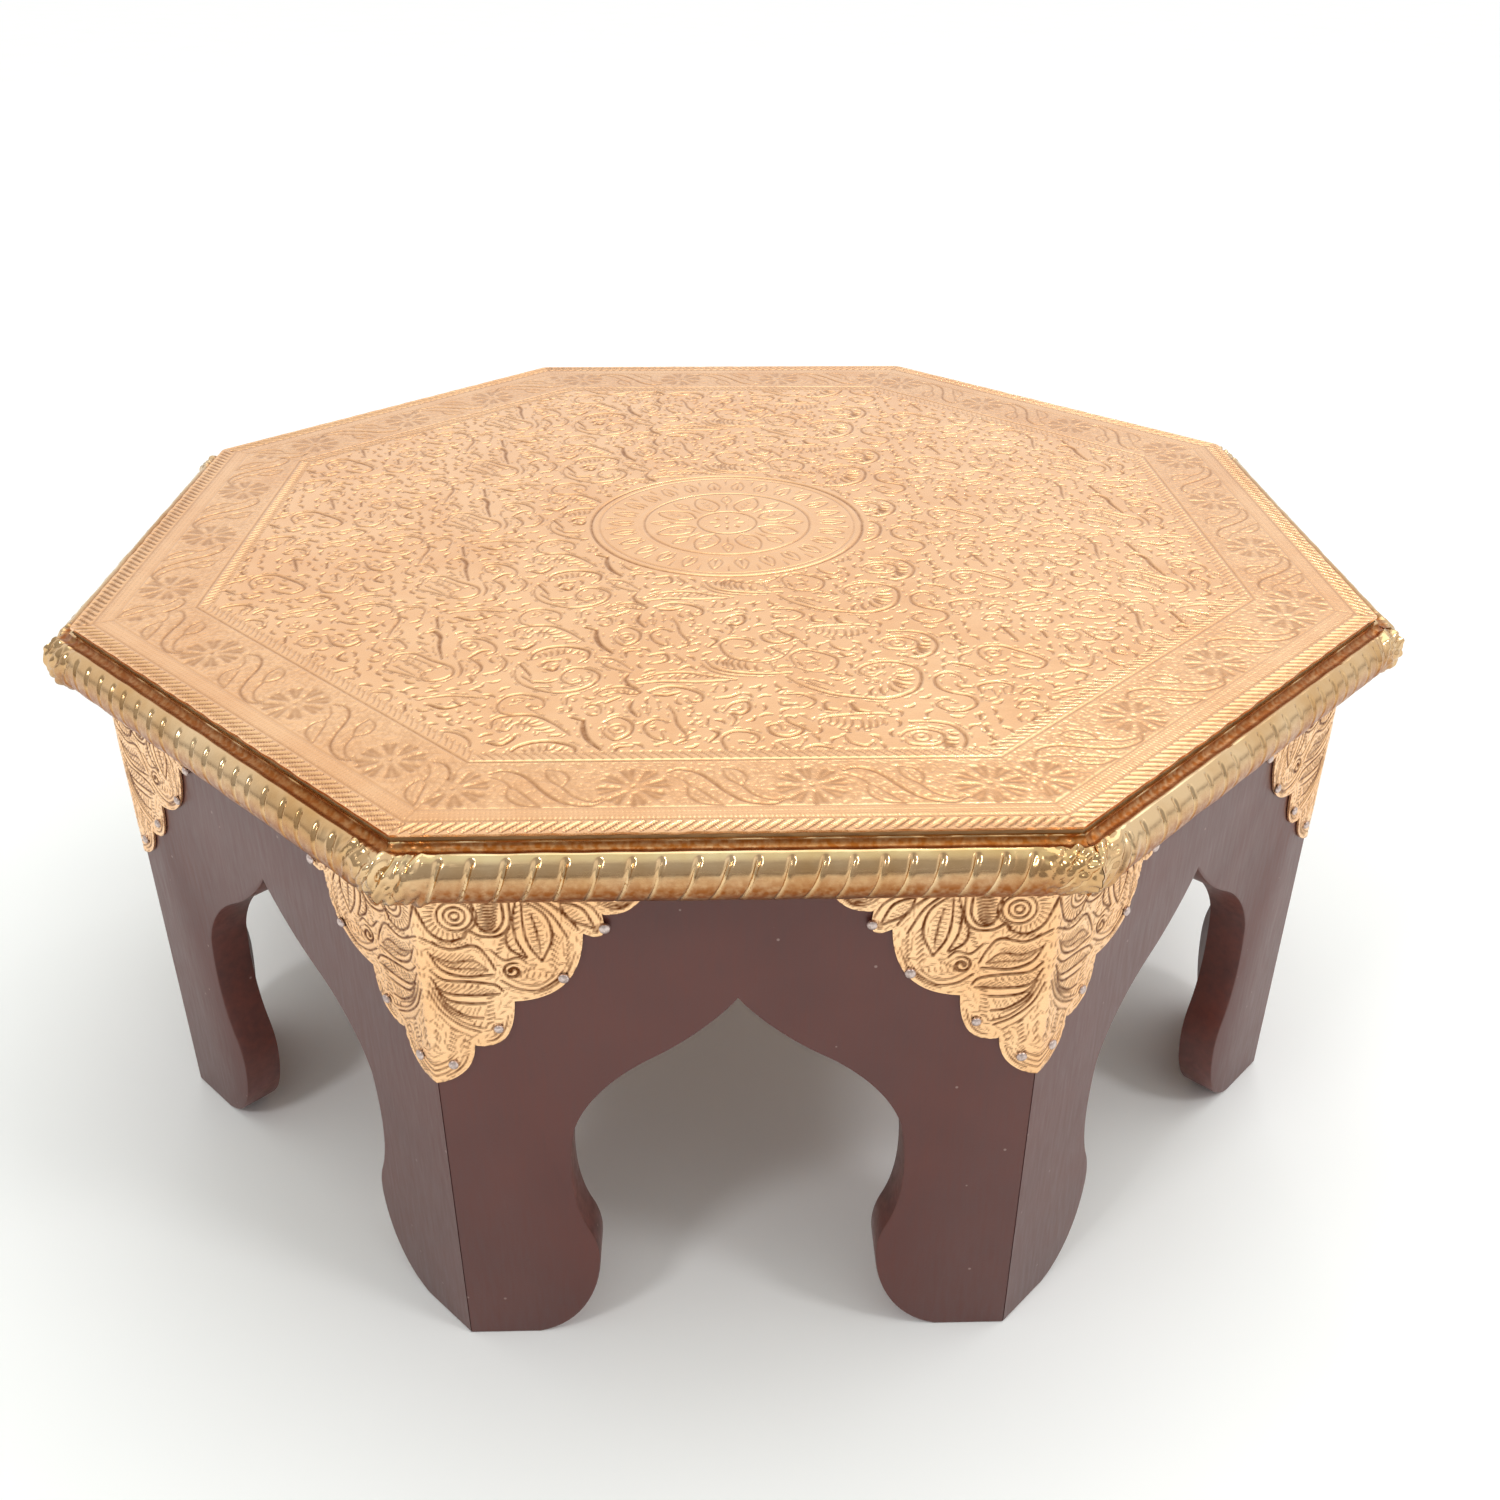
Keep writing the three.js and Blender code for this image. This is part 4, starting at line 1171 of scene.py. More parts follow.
def ribs(along, angle, number):
    """Height of the ribs over the strip; along is from the middle of the side, angle round the bead."""
    generator = np.random.default_rng(100 + number)
    slant = RIB_SLANT.get(number, generator.uniform(-1.5, 2.5))
    down = np.clip((RIB_HEAD - angle) / (RIB_HEAD - RIB_FOOT), -0.2, 1.2)
    reach = RIM_APOTHEM * TAN - CORNER_PLAIN
    height = np.zeros_like(along)
    middle = -reach
    while middle < reach:
        lean = slant * generator.uniform(0.85, 1.15)
        size = generator.uniform(0.8, 1.15)
        centre = middle - lean * (down - 0.5) + 0.5 * np.sin(down * math.pi)
        width = 0.85 - 0.42 * np.clip(down, 0, 1)
        head = np.clip((down + 0.02) / 0.06, 0, 1)
        foot = np.clip((1.08 - down) / 0.5, 0, 1)
        across = np.abs(along - centre) / width
        ridge = np.exp(-across ** 1.6 * 1.5) - 0.22 * np.exp(-(across - 1.9) ** 2 * 1.6)
        height = np.where(ridge > 0, np.maximum(height, size * np.sqrt(head) * foot ** 0.6 * ridge),
                          height + size * np.sqrt(head) * foot * ridge)
        middle += RIB_PITCH + generator.uniform(-0.9, 0.9)
    return RIB_HEIGHT * height


def pleats(along, run, number):
    """Crumpled folds near both ends; they run on past the mitre into the next strip."""
    half = RIM_APOTHEM * TAN
    height = np.zeros_like(along)
    for end in (-1, 1):
        from_corner = half - end * along
        corner = number if end > 0 else (number - 2) % SIDES + 1
        signed = -end * from_corner
        near = np.clip(1.45 - from_corner / CORNER_PLAIN, 0, 1) ** 1.3
        fold = np.abs(wobble(signed + 0.55 * run, run * 0.2, FOLD_LENGTH, 300 + corner, 4))
        crease = np.abs(wobble(signed, run * 0.9, CREASE_LENGTH, 400 + corner, 4))
        lapped = (end > 0) & (from_corner < LAP_REACH + 0.7 * np.sin(run * 0.9))
        rounding = np.clip(2.4 - from_corner, 0, None) ** 2 / 9
        height += near * (PUFF - FOLD_DEPTH * fold - CREASE_DEPTH * crease)
        height += LAP_HEIGHT * lapped - rounding
    return height


# %% Build the eight strips
COLUMN_STEP = 0.27


def rim_strip(number):
    out, height, angle = moulding(SKIN, 8, 40, 3)
    back_out, back_height, back_angle = moulding(GAP, 3, 9, 1)
    section_out = np.concatenate([out, back_out[::-1], out[:1]])
    section_height = np.concatenate([height, back_height[::-1], height[:1]])
    section_angle = np.concatenate([angle, back_angle[::-1], angle[:1]])
    front = np.concatenate([np.ones(len(out)), np.zeros(len(back_out)), [1]])
    front[[0, -1]] = 0
    run = np.concatenate([[0], np.cumsum(np.hypot(np.diff(section_out), np.diff(section_height)))])
    tangent = np.gradient(np.stack([section_out, section_height], axis=1), axis=0)
    tangent /= np.linalg.norm(tangent, axis=1)[:, None] + 1e-9
    normal_out, normal_up = -tangent[:, 1], tangent[:, 0]

    columns, rows = int(2 * RIM_APOTHEM * TAN / COLUMN_STEP), len(section_out) - 1
    strip = flat_net(columns, rows)
    net = points_of(strip)
    across = net[:, 0]
    row = np.rint((net[:, 1] + 1) / 2 * rows).astype(int)
    along = across * section_out[row] * TAN
    bead = section_angle[row]
    ridge = ribs(along, bead, number) * (bead < 80)
    lift = ridge + 0.09 * wobble(along, run[row], 14, 200 + number)
    on_bead = np.clip((80 - bead) / 25, 0, 1) * np.clip((bead + 92) / 8, 0, 1)
    lift = (lift + pleats(along, run[row], number) * np.clip(on_bead + 0.25, 0, 1)) * front[row]
    distance = section_out[row] - lift * normal_out[row]
    level = section_height[row] - lift * normal_up[row]
    bent = np.stack([across * (distance * TAN - 0.05), -distance, level], axis=1)
    move_points(strip, turned(bent, (number - 1) * SIDE_TURN))
    # Painted shade: the lower half of the bead faces down into shade and is browned by its angle. Rib tops
    # are spared as rubbed wear. The corners are kept lighter, partly as wear and partly as painted
    # highlight. The hollow above the bead takes full tarnish. These values are not depths.
    rubbed = np.clip(ridge / RIB_HEIGHT, 0, 1)
    corner_rub_and_highlight = np.clip((RIM_APOTHEM * TAN - np.abs(along)) / CORNER_PLAIN, 0.25, 1)
    painted_bead_shade = np.clip((38 - bead) / 52, 0, 1) * (1 - rubbed) * corner_rub_and_highlight
    point_attribute(strip, "groove", np.where(bead > 85, 0.6, 0.1 + 0.5 * painted_bead_shade) * front[row])

    only(strip)
    bpy.ops.object.mode_set(mode="EDIT")
    bpy.ops.mesh.select_all(action="SELECT")
    bpy.ops.mesh.remove_doubles(threshold=0.002 * MM)
    bpy.ops.mesh.fill_holes(sides=0)
    bpy.ops.mesh.select_all(action="SELECT")
    bpy.ops.mesh.normals_make_consistent(inside=False)
    bpy.ops.object.mode_set(mode="OBJECT")
    bpy.ops.object.shade_smooth_by_angle(angle=math.radians(60))
    return own(strip, f"dressed_rim_{number}", RIM_BRASS, "brass_rim", f"rim_strip_{number}")


for number in range(1, SIDES + 1):
    strip = rim_strip(number)
print("rim strips:", SIDES, "with", len(strip.data.polygons), "faces each")

# %% [markdown]
# ## Corner brackets: scalloped plates folded round the corners
# Each bracket is one flat plate, cut to five lobes a side, engraved, folded down its middle and
# pinned. It is made flat, as the smith makes it: a fine net is cut to the outline, its edge
# drawn onto the true curve, pressed with the drawing, closed behind, and only then folded.

# %% The outline
TIP = (0, BRACKET_LOW)
LOBES = [
    # pull and cusp of each curve, as (from the fold, height)
    ((9.8, 95.2), (10.3, 104.8)),
    ((20.2, 102.5), (20.9, 118.3)),
    ((37.2, 119.0), (38.2, 138.2)),
    ((44.6, 134.2), (42.8, 143.5)),
    ((49.0, 142.6), (53.2, BRACKET_HIGH)),
]


def lobe_curves(steps=16):
    """Each lobe's edge as an array of points, from the tip up to the table."""
    curves = []
    start = np.array(TIP, float)
    t = np.linspace(0, 1, steps + 1)[:, None]
    for pull, cusp in LOBES:
        pull, cusp = np.array(pull), np.array(cusp)
        curves.append((1 - t) ** 2 * start + 2 * t * (1 - t) * pull + t ** 2 * cusp)
        start = cusp
    return curves


half_outline = np.concatenate([curve[:-1] for curve in lobe_curves()] + [[LOBES[-1][1]]])
OUTLINE = np.concatenate([half_outline, (half_outline * (-1, 1))[:0:-1]])


def nearest_on_outline(points):
    """The closest outline point to each point, how far it is, and whether the point is inside."""
    start = OUTLINE[None, :, :]
    end = np.roll(OUTLINE, -1, axis=0)[None, :, :]
    edge = end - start
    place = points[:, None, :]
    t = np.clip(((place - start) * edge).sum(-1) / (edge ** 2).sum(-1), 0, 1)
    foot = start + t[..., None] * edge
    away = np.linalg.norm(place - foot, axis=-1)
    best = away.argmin(axis=1)
    pick = np.arange(len(points))
    crosses = (start[..., 1] > place[..., 1]) != (end[..., 1] > place[..., 1])
    with np.errstate(divide="ignore", invalid="ignore"):
        at = start[..., 0] + (place[..., 1] - start[..., 1]) / edge[..., 1] * edge[..., 0]
    inside = (crosses & (place[..., 0] < at)).sum(axis=1) % 2 == 1
    return foot[pick, best], away[pick, best], inside


# %% [markdown]
# ## The plate's drawing
# One wing is drawn and the other mirrors it. A rosette sits by the fold with a fan beside it,
# leaves with slanting veins sweep down to the tip, and double lines follow every lobe.

# %% Drawing
def veined(upper, lower, count=7, lean=0.12):
    """A leaf between two curves, with veins that lean across it."""
    cuts = [cut(upper, (0.5, 0.75, 0.6), 0.26), cut(lower, (0.5, 0.75, 0.6), 0.26)]
    top, bottom = smooth(upper, 12), smooth(lower, 12)
    for t in np.linspace(0.1, 0.84, count):
        low = bottom[int(t * (len(bottom) - 1))]
        high = top[int(min(t + lean, 1) * (len(top) - 1))]
        cuts.append(cut([low + (high - low) * 0.16, low + (high - low) * 0.68], (0.35, 0.6, 0.3), 0.22))
    return cuts


def ticks(start, end, count, lean, length=1.7):
    """A row of short slanting strokes."""
    cuts = []
    for t in np.linspace(0, 1, count):
        x, z = start[0] + (end[0] - start[0]) * t, start[1] + (end[1] - start[1]) * t
        dx, dz = length * math.cos(math.radians(lean)), length * math.sin(math.radians(lean))
        cuts.append(cut([(x, z), (x + dx, z + dz)], (0.55, 0.3), 0.22))
    return cuts


def edge_lines():
    """Two lines that follow each lobe just inside its edge."""
    cuts = []
    for curve in lobe_curves(12):
        slope = np.gradient(curve, axis=0)
        inward = np.stack([-slope[:, 1], slope[:, 0]], axis=1)
        inward /= np.linalg.norm(inward, axis=1)[:, None]
        cuts.append(cut((curve + 1.35 * inward)[2:-2:2], (0.4, 0.65, 0.4), 0.22))
        cuts.append(cut((curve + 2.35 * inward)[3:-3:2], (0.3, 0.5, 0.3), 0.18))
    return cuts


def curl(radius=5.0, turns=1.3, width=0.95):
    """A spiral from outside to inside, ending in a round eye."""
    t = np.linspace(0, 1, int(14 * turns) + 4)
    angle = 2 * math.pi * turns * t
    away = radius * (1 - 0.74 * t)
    path = np.stack([away * np.cos(angle), away * np.sin(angle)], axis=1)
    return [cut(path, (width * 0.6, width * 1.15, width), 0.32), dot(*path[-1], width * 1.9, 0.36)]


def rosette_and_fan():
    eye = (8.9, 143.5)
    cuts = [arc(radius, 0, 360, 0.6, 0.26, eye) for radius in (1.1, 2.5, 4.1)]
    cuts += [arc(5.1, -70, 125, 0.6, 0.24, eye)]
    for angle in range(140, 296, 12):
        turn = math.radians(angle)
        x, z = eye[0] + 5.1 * math.cos(turn), eye[1] + 5.1 * math.sin(turn)
        cuts += ticks((x, z), (x, z), 1, angle + 18, 2.3)
    for i in range(9):
        z = 147.4 - i * 1.02
        cuts.append(cut([(14.4, z + 0.1), (16.6, z - 0.7 + 0.1 * i), (19.2 - 0.12 * i, z - 0.4 + 0.22 * i)],
                        (0.4, 0.75, 0.4), 0.24))
    cuts += [cut([(13.2, 147.4), (13.2, 143.2), (15.0, 139.4), (17.8, 138.9), (20.0, 142), (19.9, 147.6)],
                 0.7, 0.26)]
    cuts += [cut([(11.6, 139.6), (14.6, 137.6), (18.8, 137.8), (21.4, 141), (21.6, 147.6)], 0.7, 0.26)]
    cuts += [cut([(-0.2, 147.4), (1.4, 142), (3.0, 138.6), (6.4, 136.4), (10.4, 137.4), (11.6, 139.6)],
                 0.7, 0.26)]
    return cuts


def bracket_cuts():
    cuts = rosette_and_fan() + edge_lines()
    cuts += veined([(0.4, 137.4), (6.5, 134.1), (12.6, 135), (15.4, 131.7), (17.1, 127.8)],
                   [(1.8, 133.3), (4.3, 128.2), (9.3, 126), (16.4, 126.4)], 15, 0.1)
    cuts += [cut([(2.6, 132.2), (7, 130.2), (12, 130.6), (15.2, 128)], (0.4, 0.7, 0.4), 0.22)]
    cuts += veined([(1.8, 127.8), (4.9, 125), (10.4, 124.4), (16.5, 123.4), (18.4, 121.4)],
                   [(1.5, 126.1), (4.3, 121.4), (11, 120.2), (17.6, 120.6)], 13, 0.08)
    cuts += veined([(2.4, 122.6), (5.6, 118.8), (10.2, 117.8), (14, 117.8)],
                   [(3.0, 121.2), (4.9, 117.4), (9.3, 113.9), (13.2, 113.3)], 11, 0.08)
    cuts += [cut([(0.7, 121.7), (3.2, 115.6), (7.6, 111.1), (12.1, 108.9)], 0.6, 0.24)]
    cuts += [cut([(1.9, 121.4), (4.3, 116.1), (8.4, 111.9), (13.0, 110.1)], 0.55, 0.22)]
    cuts += ticks((14.6, 119.2), (14.0, 111.6), 7, 18) + ticks((5.0, 110.2), (4.0, 103.8), 6, -42)
    cuts += placed(curl(2.5, 1.3, 0.7), 21.2, 127.3, 60)
    cuts += [cut([(16.4, 133.6), (19.4, 130.6), (22.6, 131.4), (24.6, 129.6)], 0.6, 0.24)]
    cuts += [cut([(18.2, 124.6), (22.1, 122), (27.1, 121.6), (32, 125)], 0.6, 0.24)]
    cuts += [cut([(19.7, 125.6), (23.2, 123.5), (27.3, 123.2), (31, 126)], 0.5, 0.2)]
    cuts += veined([(24.8, 147.8), (29.6, 143.5), (31.0, 137), (28.4, 130.3)],
                   [(24.6, 147.8), (24.4, 141), (25.4, 135), (28.1, 130.3)], 12, 0.05)
    cuts += [cut([(26.4, 144), (27.6, 138), (28.2, 132)], (0.5, 0.7, 0.3), 0.24)]
    cuts += veined([(23.2, 147.6), (22.2, 142.4), (22.6, 136.6), (24.8, 131.4)],
                   [(21.4, 140.4), (20.2, 137.2), (21, 133.8), (24.4, 131.2)], 8, 0.1)
    cuts += [cut([(26.4, 148.2), (31, 143.8), (34.6, 136.9)], 0.65, 0.26)]
    cuts += [cut([(29.0, 148.2), (34, 144), (37.2, 139.2)], 0.65, 0.26)]
    cuts += veined([(33.0, 147.4), (38.2, 145.2), (41, 139.8)],
                   [(33.0, 147.4), (35.0, 142.6), (40.4, 139.6)], 9, 0.06)
    cuts += [cut([(37.1, 148), (40.6, 145.4), (42.8, 141.4)], 0.6, 0.24)]
    cuts += ticks((31.2, 138.4), (30.4, 129.2), 7, -50, 2.4)
    cuts += ticks((26.0, 127.8), (22.6, 126.2), 4, 60, 1.5)
    for drop in (0.0, 1.2, 2.4):
        cuts += [cut([(40.6 + drop, 148), (44.2 + drop * 0.5, 145.4 + drop * 0.5),
                      (47.8, 145.2 + drop * 0.6), (51.0 - drop, 148)], (0.4, 0.6, 0.4), 0.22)]
    for rise in (0.0, 1.7, 3.4):
        cuts += [cut([(0, 94.9 + rise), (3.4, 96.6 + rise), (6.0, 99.4 + rise)], (0.6, 0.5, 0.3), 0.2)]
    cuts += ticks((1.4, 112), (1.0, 105), 4, -65, 2.0) + ticks((8.6, 108.2), (7.6, 104.6), 3, -38)
    cuts += [cut([(3.2, 131.4), (6.4, 128.6), (11, 128.2), (15.6, 127.6)], (0.4, 0.6, 0.3), 0.22)]
    cuts += [cut([(1.2, 124.2), (2.8, 119.4), (5.8, 115.2), (10.4, 112.4)], (0.4, 0.6, 0.4), 0.22)]
    cuts += [cut([(2.4, 114.6), (5.4, 110.4), (9.6, 107.6)], (0.4, 0.55, 0.3), 0.2)]
    cuts += ticks((3.2, 136.2), (10.6, 135.9), 6, -38, 1.6)
    cuts += ticks((19.0, 136.4), (17.4, 132.4), 4, 25, 1.8)
    cuts += ticks((31.6, 146.4), (36.4, 141.4), 7, -80, 1.5)
    cuts += ticks((34.4, 136.2), (33.8, 129.4), 6, -60, 1.8)
    cuts += ticks((22.8, 125.4), (30.2, 125.4), 6, 70, 1.5)
    cuts += ticks((12.4, 122.6), (4.8, 122.8), 6, 60, 1.2)
    cuts += ticks((10.6, 111.0), (16.4, 109.6), 5, 65, 1.6)
    cuts += ticks((22.6, 139.6), (22.8, 145.6), 5, 30, 1.3)
    return cuts


# %% The plate's height
PLATE_PITCH = 0.16
PLATE_LOW = (-1.0, BRACKET_LOW - 1)
PLATE_HIGH = (54.5, BRACKET_HIGH + 1)
drawing = broader(bracket_cuts(), 1.3, 1.4)
bare_plate = press(samples_of(drawing), PLATE_LOW, PLATE_HIGH, PLATE_PITCH)
plate_box = ((0.5, BRACKET_LOW), (52, BRACKET_HIGH))
hatch_stroke = strokes((0.42, (-1.1, 0), (0, 0.12), (1.1, 0)))
hatching = filled(bare_plate, PLATE_LOW, PLATE_PITCH, plate_box, 1.45, (-1, 0.05), hatch_stroke, random)
pressed_plate = press(samples_of(drawing + hatching), PLATE_LOW, PLATE_HIGH, PLATE_PITCH)
plate_depth, plate_height = pillowed(pressed_plate, PLATE_PITCH, soft=0.11, share=0.85, reach=0.9)
print("engraved lines on a plate's wing:", len(drawing), "and hatching:", len(hatching))
plate_slope_z, plate_slope_s = np.gradient(plate_height, PLATE_PITCH)


def read_plate(grid, s, z):
    return read(grid, PLATE_LOW, PLATE_PITCH, np.abs(s), z)


# %% Folding
FOLD_RADIUS = 3.2
FOLD_HALF = (FOLD_RADIUS - SKIN) * TAN
FOLD_CENTRE = (BODY_APOTHEM + SKIN - FOLD_RADIUS) / COS


def fold(points, number):
    """Flat (from the fold, height, out from the wood) to its place round a corner of the stand."""
    s, z, out = points.T
    bend = np.clip(s, -FOLD_HALF, FOLD_HALF)
    turn = bend / FOLD_HALF * HALF_CORNER
    reach = FOLD_RADIUS + out - SKIN
    x = reach * np.sin(turn) + (s - bend) * np.cos(turn)
    y = -FOLD_CENTRE - reach * np.cos(turn) + (s - bend) * np.sin(turn)
    return turned(np.stack([x, y, z], axis=1), (number - 0.5) * SIDE_TURN)


def folded_normals(s, slope_s, slope_z, number):
    """Surface directions of the pressed plate once it is folded."""
    turn = np.clip(s / FOLD_HALF, -1, 1) * HALF_CORNER
    x = np.sin(turn) - slope_s * np.cos(turn)
    y = -np.cos(turn) - slope_s * np.sin(turn)
    normals = np.stack([x, y, -slope_z], axis=1)
    normals /= np.linalg.norm(normals, axis=1)[:, None]
    return turned(normals, (number - 0.5) * SIDE_TURN)


# %% Cut, press, close and fold the plates
PLATE_STEP = 0.45


def flat_plate():
    """The plate before folding, as (from the fold, height, out from the wood)."""
    wide, tall = 2 * LOBES[-1][1][0] + 2, BRACKET_HIGH - BRACKET_LOW + 1
    plate = flat_net(int(wide / PLATE_STEP), int(tall / PLATE_STEP))
    net = points_of(plate)
    net = np.stack([net[:, 0] * wide / 2, BRACKET_HIGH + (net[:, 1] - 1) * tall / 2,
                    np.full(len(net), SKIN)], axis=1)
    _, away, inside = nearest_on_outline(net[:, :2])
    kept = inside | (away < 0.3 * PLATE_STEP)
    move_points(plate, net)
    bpy.ops.object.mode_set(mode="EDIT")
    bpy.ops.mesh.select_mode(type="VERT")
    bpy.ops.mesh.select_all(action="DESELECT")
    bpy.ops.object.mode_set(mode="OBJECT")
    plate.data.vertices.foreach_set("select", ~kept)
    bpy.ops.object.mode_set(mode="EDIT")
    bpy.ops.mesh.delete(type="VERT")
    bpy.ops.mesh.select_mode(type="EDGE")
    bpy.ops.mesh.select_non_manifold()
    bpy.ops.object.mode_set(mode="OBJECT")
    rim = picked(plate)
    net = points_of(plate)
    net[rim, :2] = nearest_on_outline(net[rim, :2])[0]
    move_points(plate, net)
    bpy.ops.object.mode_set(mode="EDIT")
    bpy.ops.mesh.select_all(action="SELECT")
    bpy.ops.mesh.remove_doubles(threshold=0.03 * MM)
    bpy.ops.mesh.select_all(action="DESELECT")
    bpy.ops.mesh.select_non_manifold()
    bpy.ops.mesh.extrude_edges_move()
    bpy.ops.object.mode_set(mode="OBJECT")
    behind = picked(plate)
    points = points_of(plate)
    s, z = points[:, 0], points[:, 1]
    points[:, 2] = SKIN + read_plate(plate_height, s, z) + 0.05 * wobble(s, z, 12, 31)
    points[behind, 2] = GAP
    move_points(plate, points)
    point_attribute(plate, "groove", read_plate(plate_depth, s, z) * ~behind)
    bpy.ops.object.mode_set(mode="EDIT")
    bpy.ops.mesh.edge_face_add()
    for line in (-FOLD_HALF, 0.0, FOLD_HALF):
        bpy.ops.mesh.select_all(action="DESELECT")
        bpy.ops.mesh.select_mode(type="VERT")
        bpy.ops.object.mode_set(mode="OBJECT")
        for face in plate.data.polygons:
            face.select = len(face.vertices) > 4
        bpy.ops.object.mode_set(mode="EDIT")
        bpy.ops.mesh.select_mode(type="FACE")
        bpy.ops.mesh.bisect(plane_co=(line * MM, 0, 0), plane_no=(1, 0, 0), threshold=1e-8)
    bpy.ops.mesh.select_all(action="SELECT")
    bpy.ops.mesh.normals_make_consistent(inside=False)
    bpy.ops.object.mode_set(mode="OBJECT")
    return plate


def copied(item):
    """A separate object with its own copy of the mesh."""
    only(item)
    bpy.ops.object.duplicate()
    return bpy.context.object


pattern_plate = flat_plate()
flat_points = points_of(pattern_plate)
print("flat plate faces:", len(pattern_plate.data.polygons))


def folded_plate(number):
    plate = copied(pattern_plate)
    s, z, out = flat_points.T
    move_points(plate, fold(flat_points, number))
    normals = folded_normals(s, np.sign(s) * read_plate(plate_slope_s, s, z),
                             read_plate(plate_slope_z, s, z), number)
    only(plate)
    bpy.ops.object.shade_smooth()
    use_normals(plate, normals, out > SKIN - 0.5)
    return own(plate, f"engraved_bracket_{number}", PLATE_BRASS, "brass_bracket",
               f"corner_bracket_{number}")


for number in range(1, SIDES + 1):
    folded_plate(number)
bpy.data.objects.remove(pattern_plate)

# %% [markdown]
# ## Pins
# Each wing of a bracket is held by four small round-head steel pins, driven by hand and so never
# quite square. One pin is a short cylinder whose top is inset and raised to a low dome and whose
# foot is drawn out to a shank. Eight go on each bracket, and they are joined as one piece.

# %% One pin
PIN_HEAD = 1.28
PIN_SHANK = 0.5
PIN_LENGTH = 7.0
PIN_PLACES = [(43.1, 139.4), (33.1, 125.2), (16.3, 110.4), (4.4, 99.1)]

bpy.ops.object.select_all(action="DESELECT")
bpy.ops.mesh.primitive_cylinder_add(vertices=14, radius=PIN_HEAD * MM, depth=0.5 * MM)
pattern_pin = bpy.context.object
bpy.ops.object.mode_set(mode="EDIT")
bpy.ops.mesh.select_mode(type="FACE")


def pick_cap(item, top):
    """Selects the pin's highest or lowest face."""
    bpy.ops.mesh.select_all(action="DESELECT")
    bpy.ops.object.mode_set(mode="OBJECT")
    level = max if top else min
    chosen = level(item.data.polygons, key=lambda face: face.center.z)
    chosen.select = True
    bpy.ops.object.mode_set(mode="EDIT")


pick_cap(pattern_pin, True)
for step in (0.22, 0.3, 0.34):
    bpy.ops.mesh.inset(thickness=step * MM, depth=(0.62 - step) * 0.5 * MM)
pick_cap(pattern_pin, False)
bpy.ops.mesh.inset(thickness=(PIN_HEAD - PIN_SHANK) * MM)
bpy.ops.mesh.extrude_region_move(TRANSFORM_OT_translate={"value": (0, 0, -PIN_LENGTH * MM)})
bpy.ops.mesh.select_all(action="SELECT")
bpy.ops.mesh.normals_make_consistent(inside=False)
bpy.ops.object.mode_set(mode="OBJECT")
bpy.ops.object.shade_smooth_by_angle(angle=math.radians(50))
pin_points = points_of(pattern_pin)
print("faces in a pin:", len(pattern_pin.data.polygons))


# %% Drive the pins
def bracket_pins(number):
    generator = np.random.default_rng(500 + number)
    pins = []
    for side in (-1, 1):
        for s, z in PIN_PLACES:
            pin = copied(pattern_pin)
            lean_s, lean_z = generator.uniform(-0.08, 0.08, 2)
            size = generator.uniform(0.94, 1.08)
            off_s, off_z = generator.uniform(-0.35, 0.35, 2)
            x, y, depth = (pin_points * (size, size, 1)).T
            flat = np.stack([side * s + off_s + x, z + off_z + y,
                             SKIN + 0.3 + depth + lean_s * x + lean_z * y], axis=1)
            move_points(pin, fold(flat, number))
            pins.append(pin)
    only(*pins)
    bpy.ops.object.join()
    turn_faces_out(pins[0])
    return own(pins[0], f"bracket_pins_{number}", PIN_STEEL, "steel")


for number in range(1, SIDES + 1):
    bracket_pins(number)
bpy.data.objects.remove(pattern_pin)
print("pins driven:", SIDES * 2 * len(PIN_PLACES))

# %% [markdown]
# ## The stand
# Eight boards with an ogee arch sawn in each are mitred together. The saw leaves smooth curves,
# so each panel starts from a ring of points on the arch's own curves, filled, drawn back to the
# board's thickness, mitred at both ends, and eased along the sawn edge with a small bevel.

# %% The panel's outline
PANEL_THICK = 12
MITRE_GAP = 0.15
EASED_EDGE = 0.7
FACE_HALF = BODY_APOTHEM * TAN
ARCH = [
    # two handles and the end of each curve, from the point of the arch to the sole
    ((5, 110.5), (13, 103.5), (21, 98.8)),
    ((29, 94.2), (38, 86), (41.5, 75.5)),
    ((44, 62), (43.4, 48), (38.9, 38.5)),
    ((37.6, 35.5), (36.7, 31), (37.2, 26.5)),
    ((38.2, 14), (44, 2.5), (55, 0)),
]


def arch_half(steps=14):
    points = [np.array([[0, 117.0]])]
    t = np.linspace(0, 1, steps + 1)[1:, None]
    for first, second, end in ARCH:
        start = points[-1][-1]
        first, second, end = (np.array(p, float) for p in (first, second, end))
        points.append((1 - t) ** 3 * start + 3 * (1 - t) ** 2 * t * first
                      + 3 * (1 - t) * t ** 2 * second + t ** 3 * end)
    return np.concatenate(points)


right_arch = arch_half()
left_arch = right_arch[:0:-1] * (-1, 1)
panel_outline = np.concatenate([
    [(-FACE_HALF, 0)], left_arch, right_arch,
    [(FACE_HALF, 0), (FACE_HALF, BOARD_BOTTOM), (-FACE_HALF, BOARD_BOTTOM)],
])


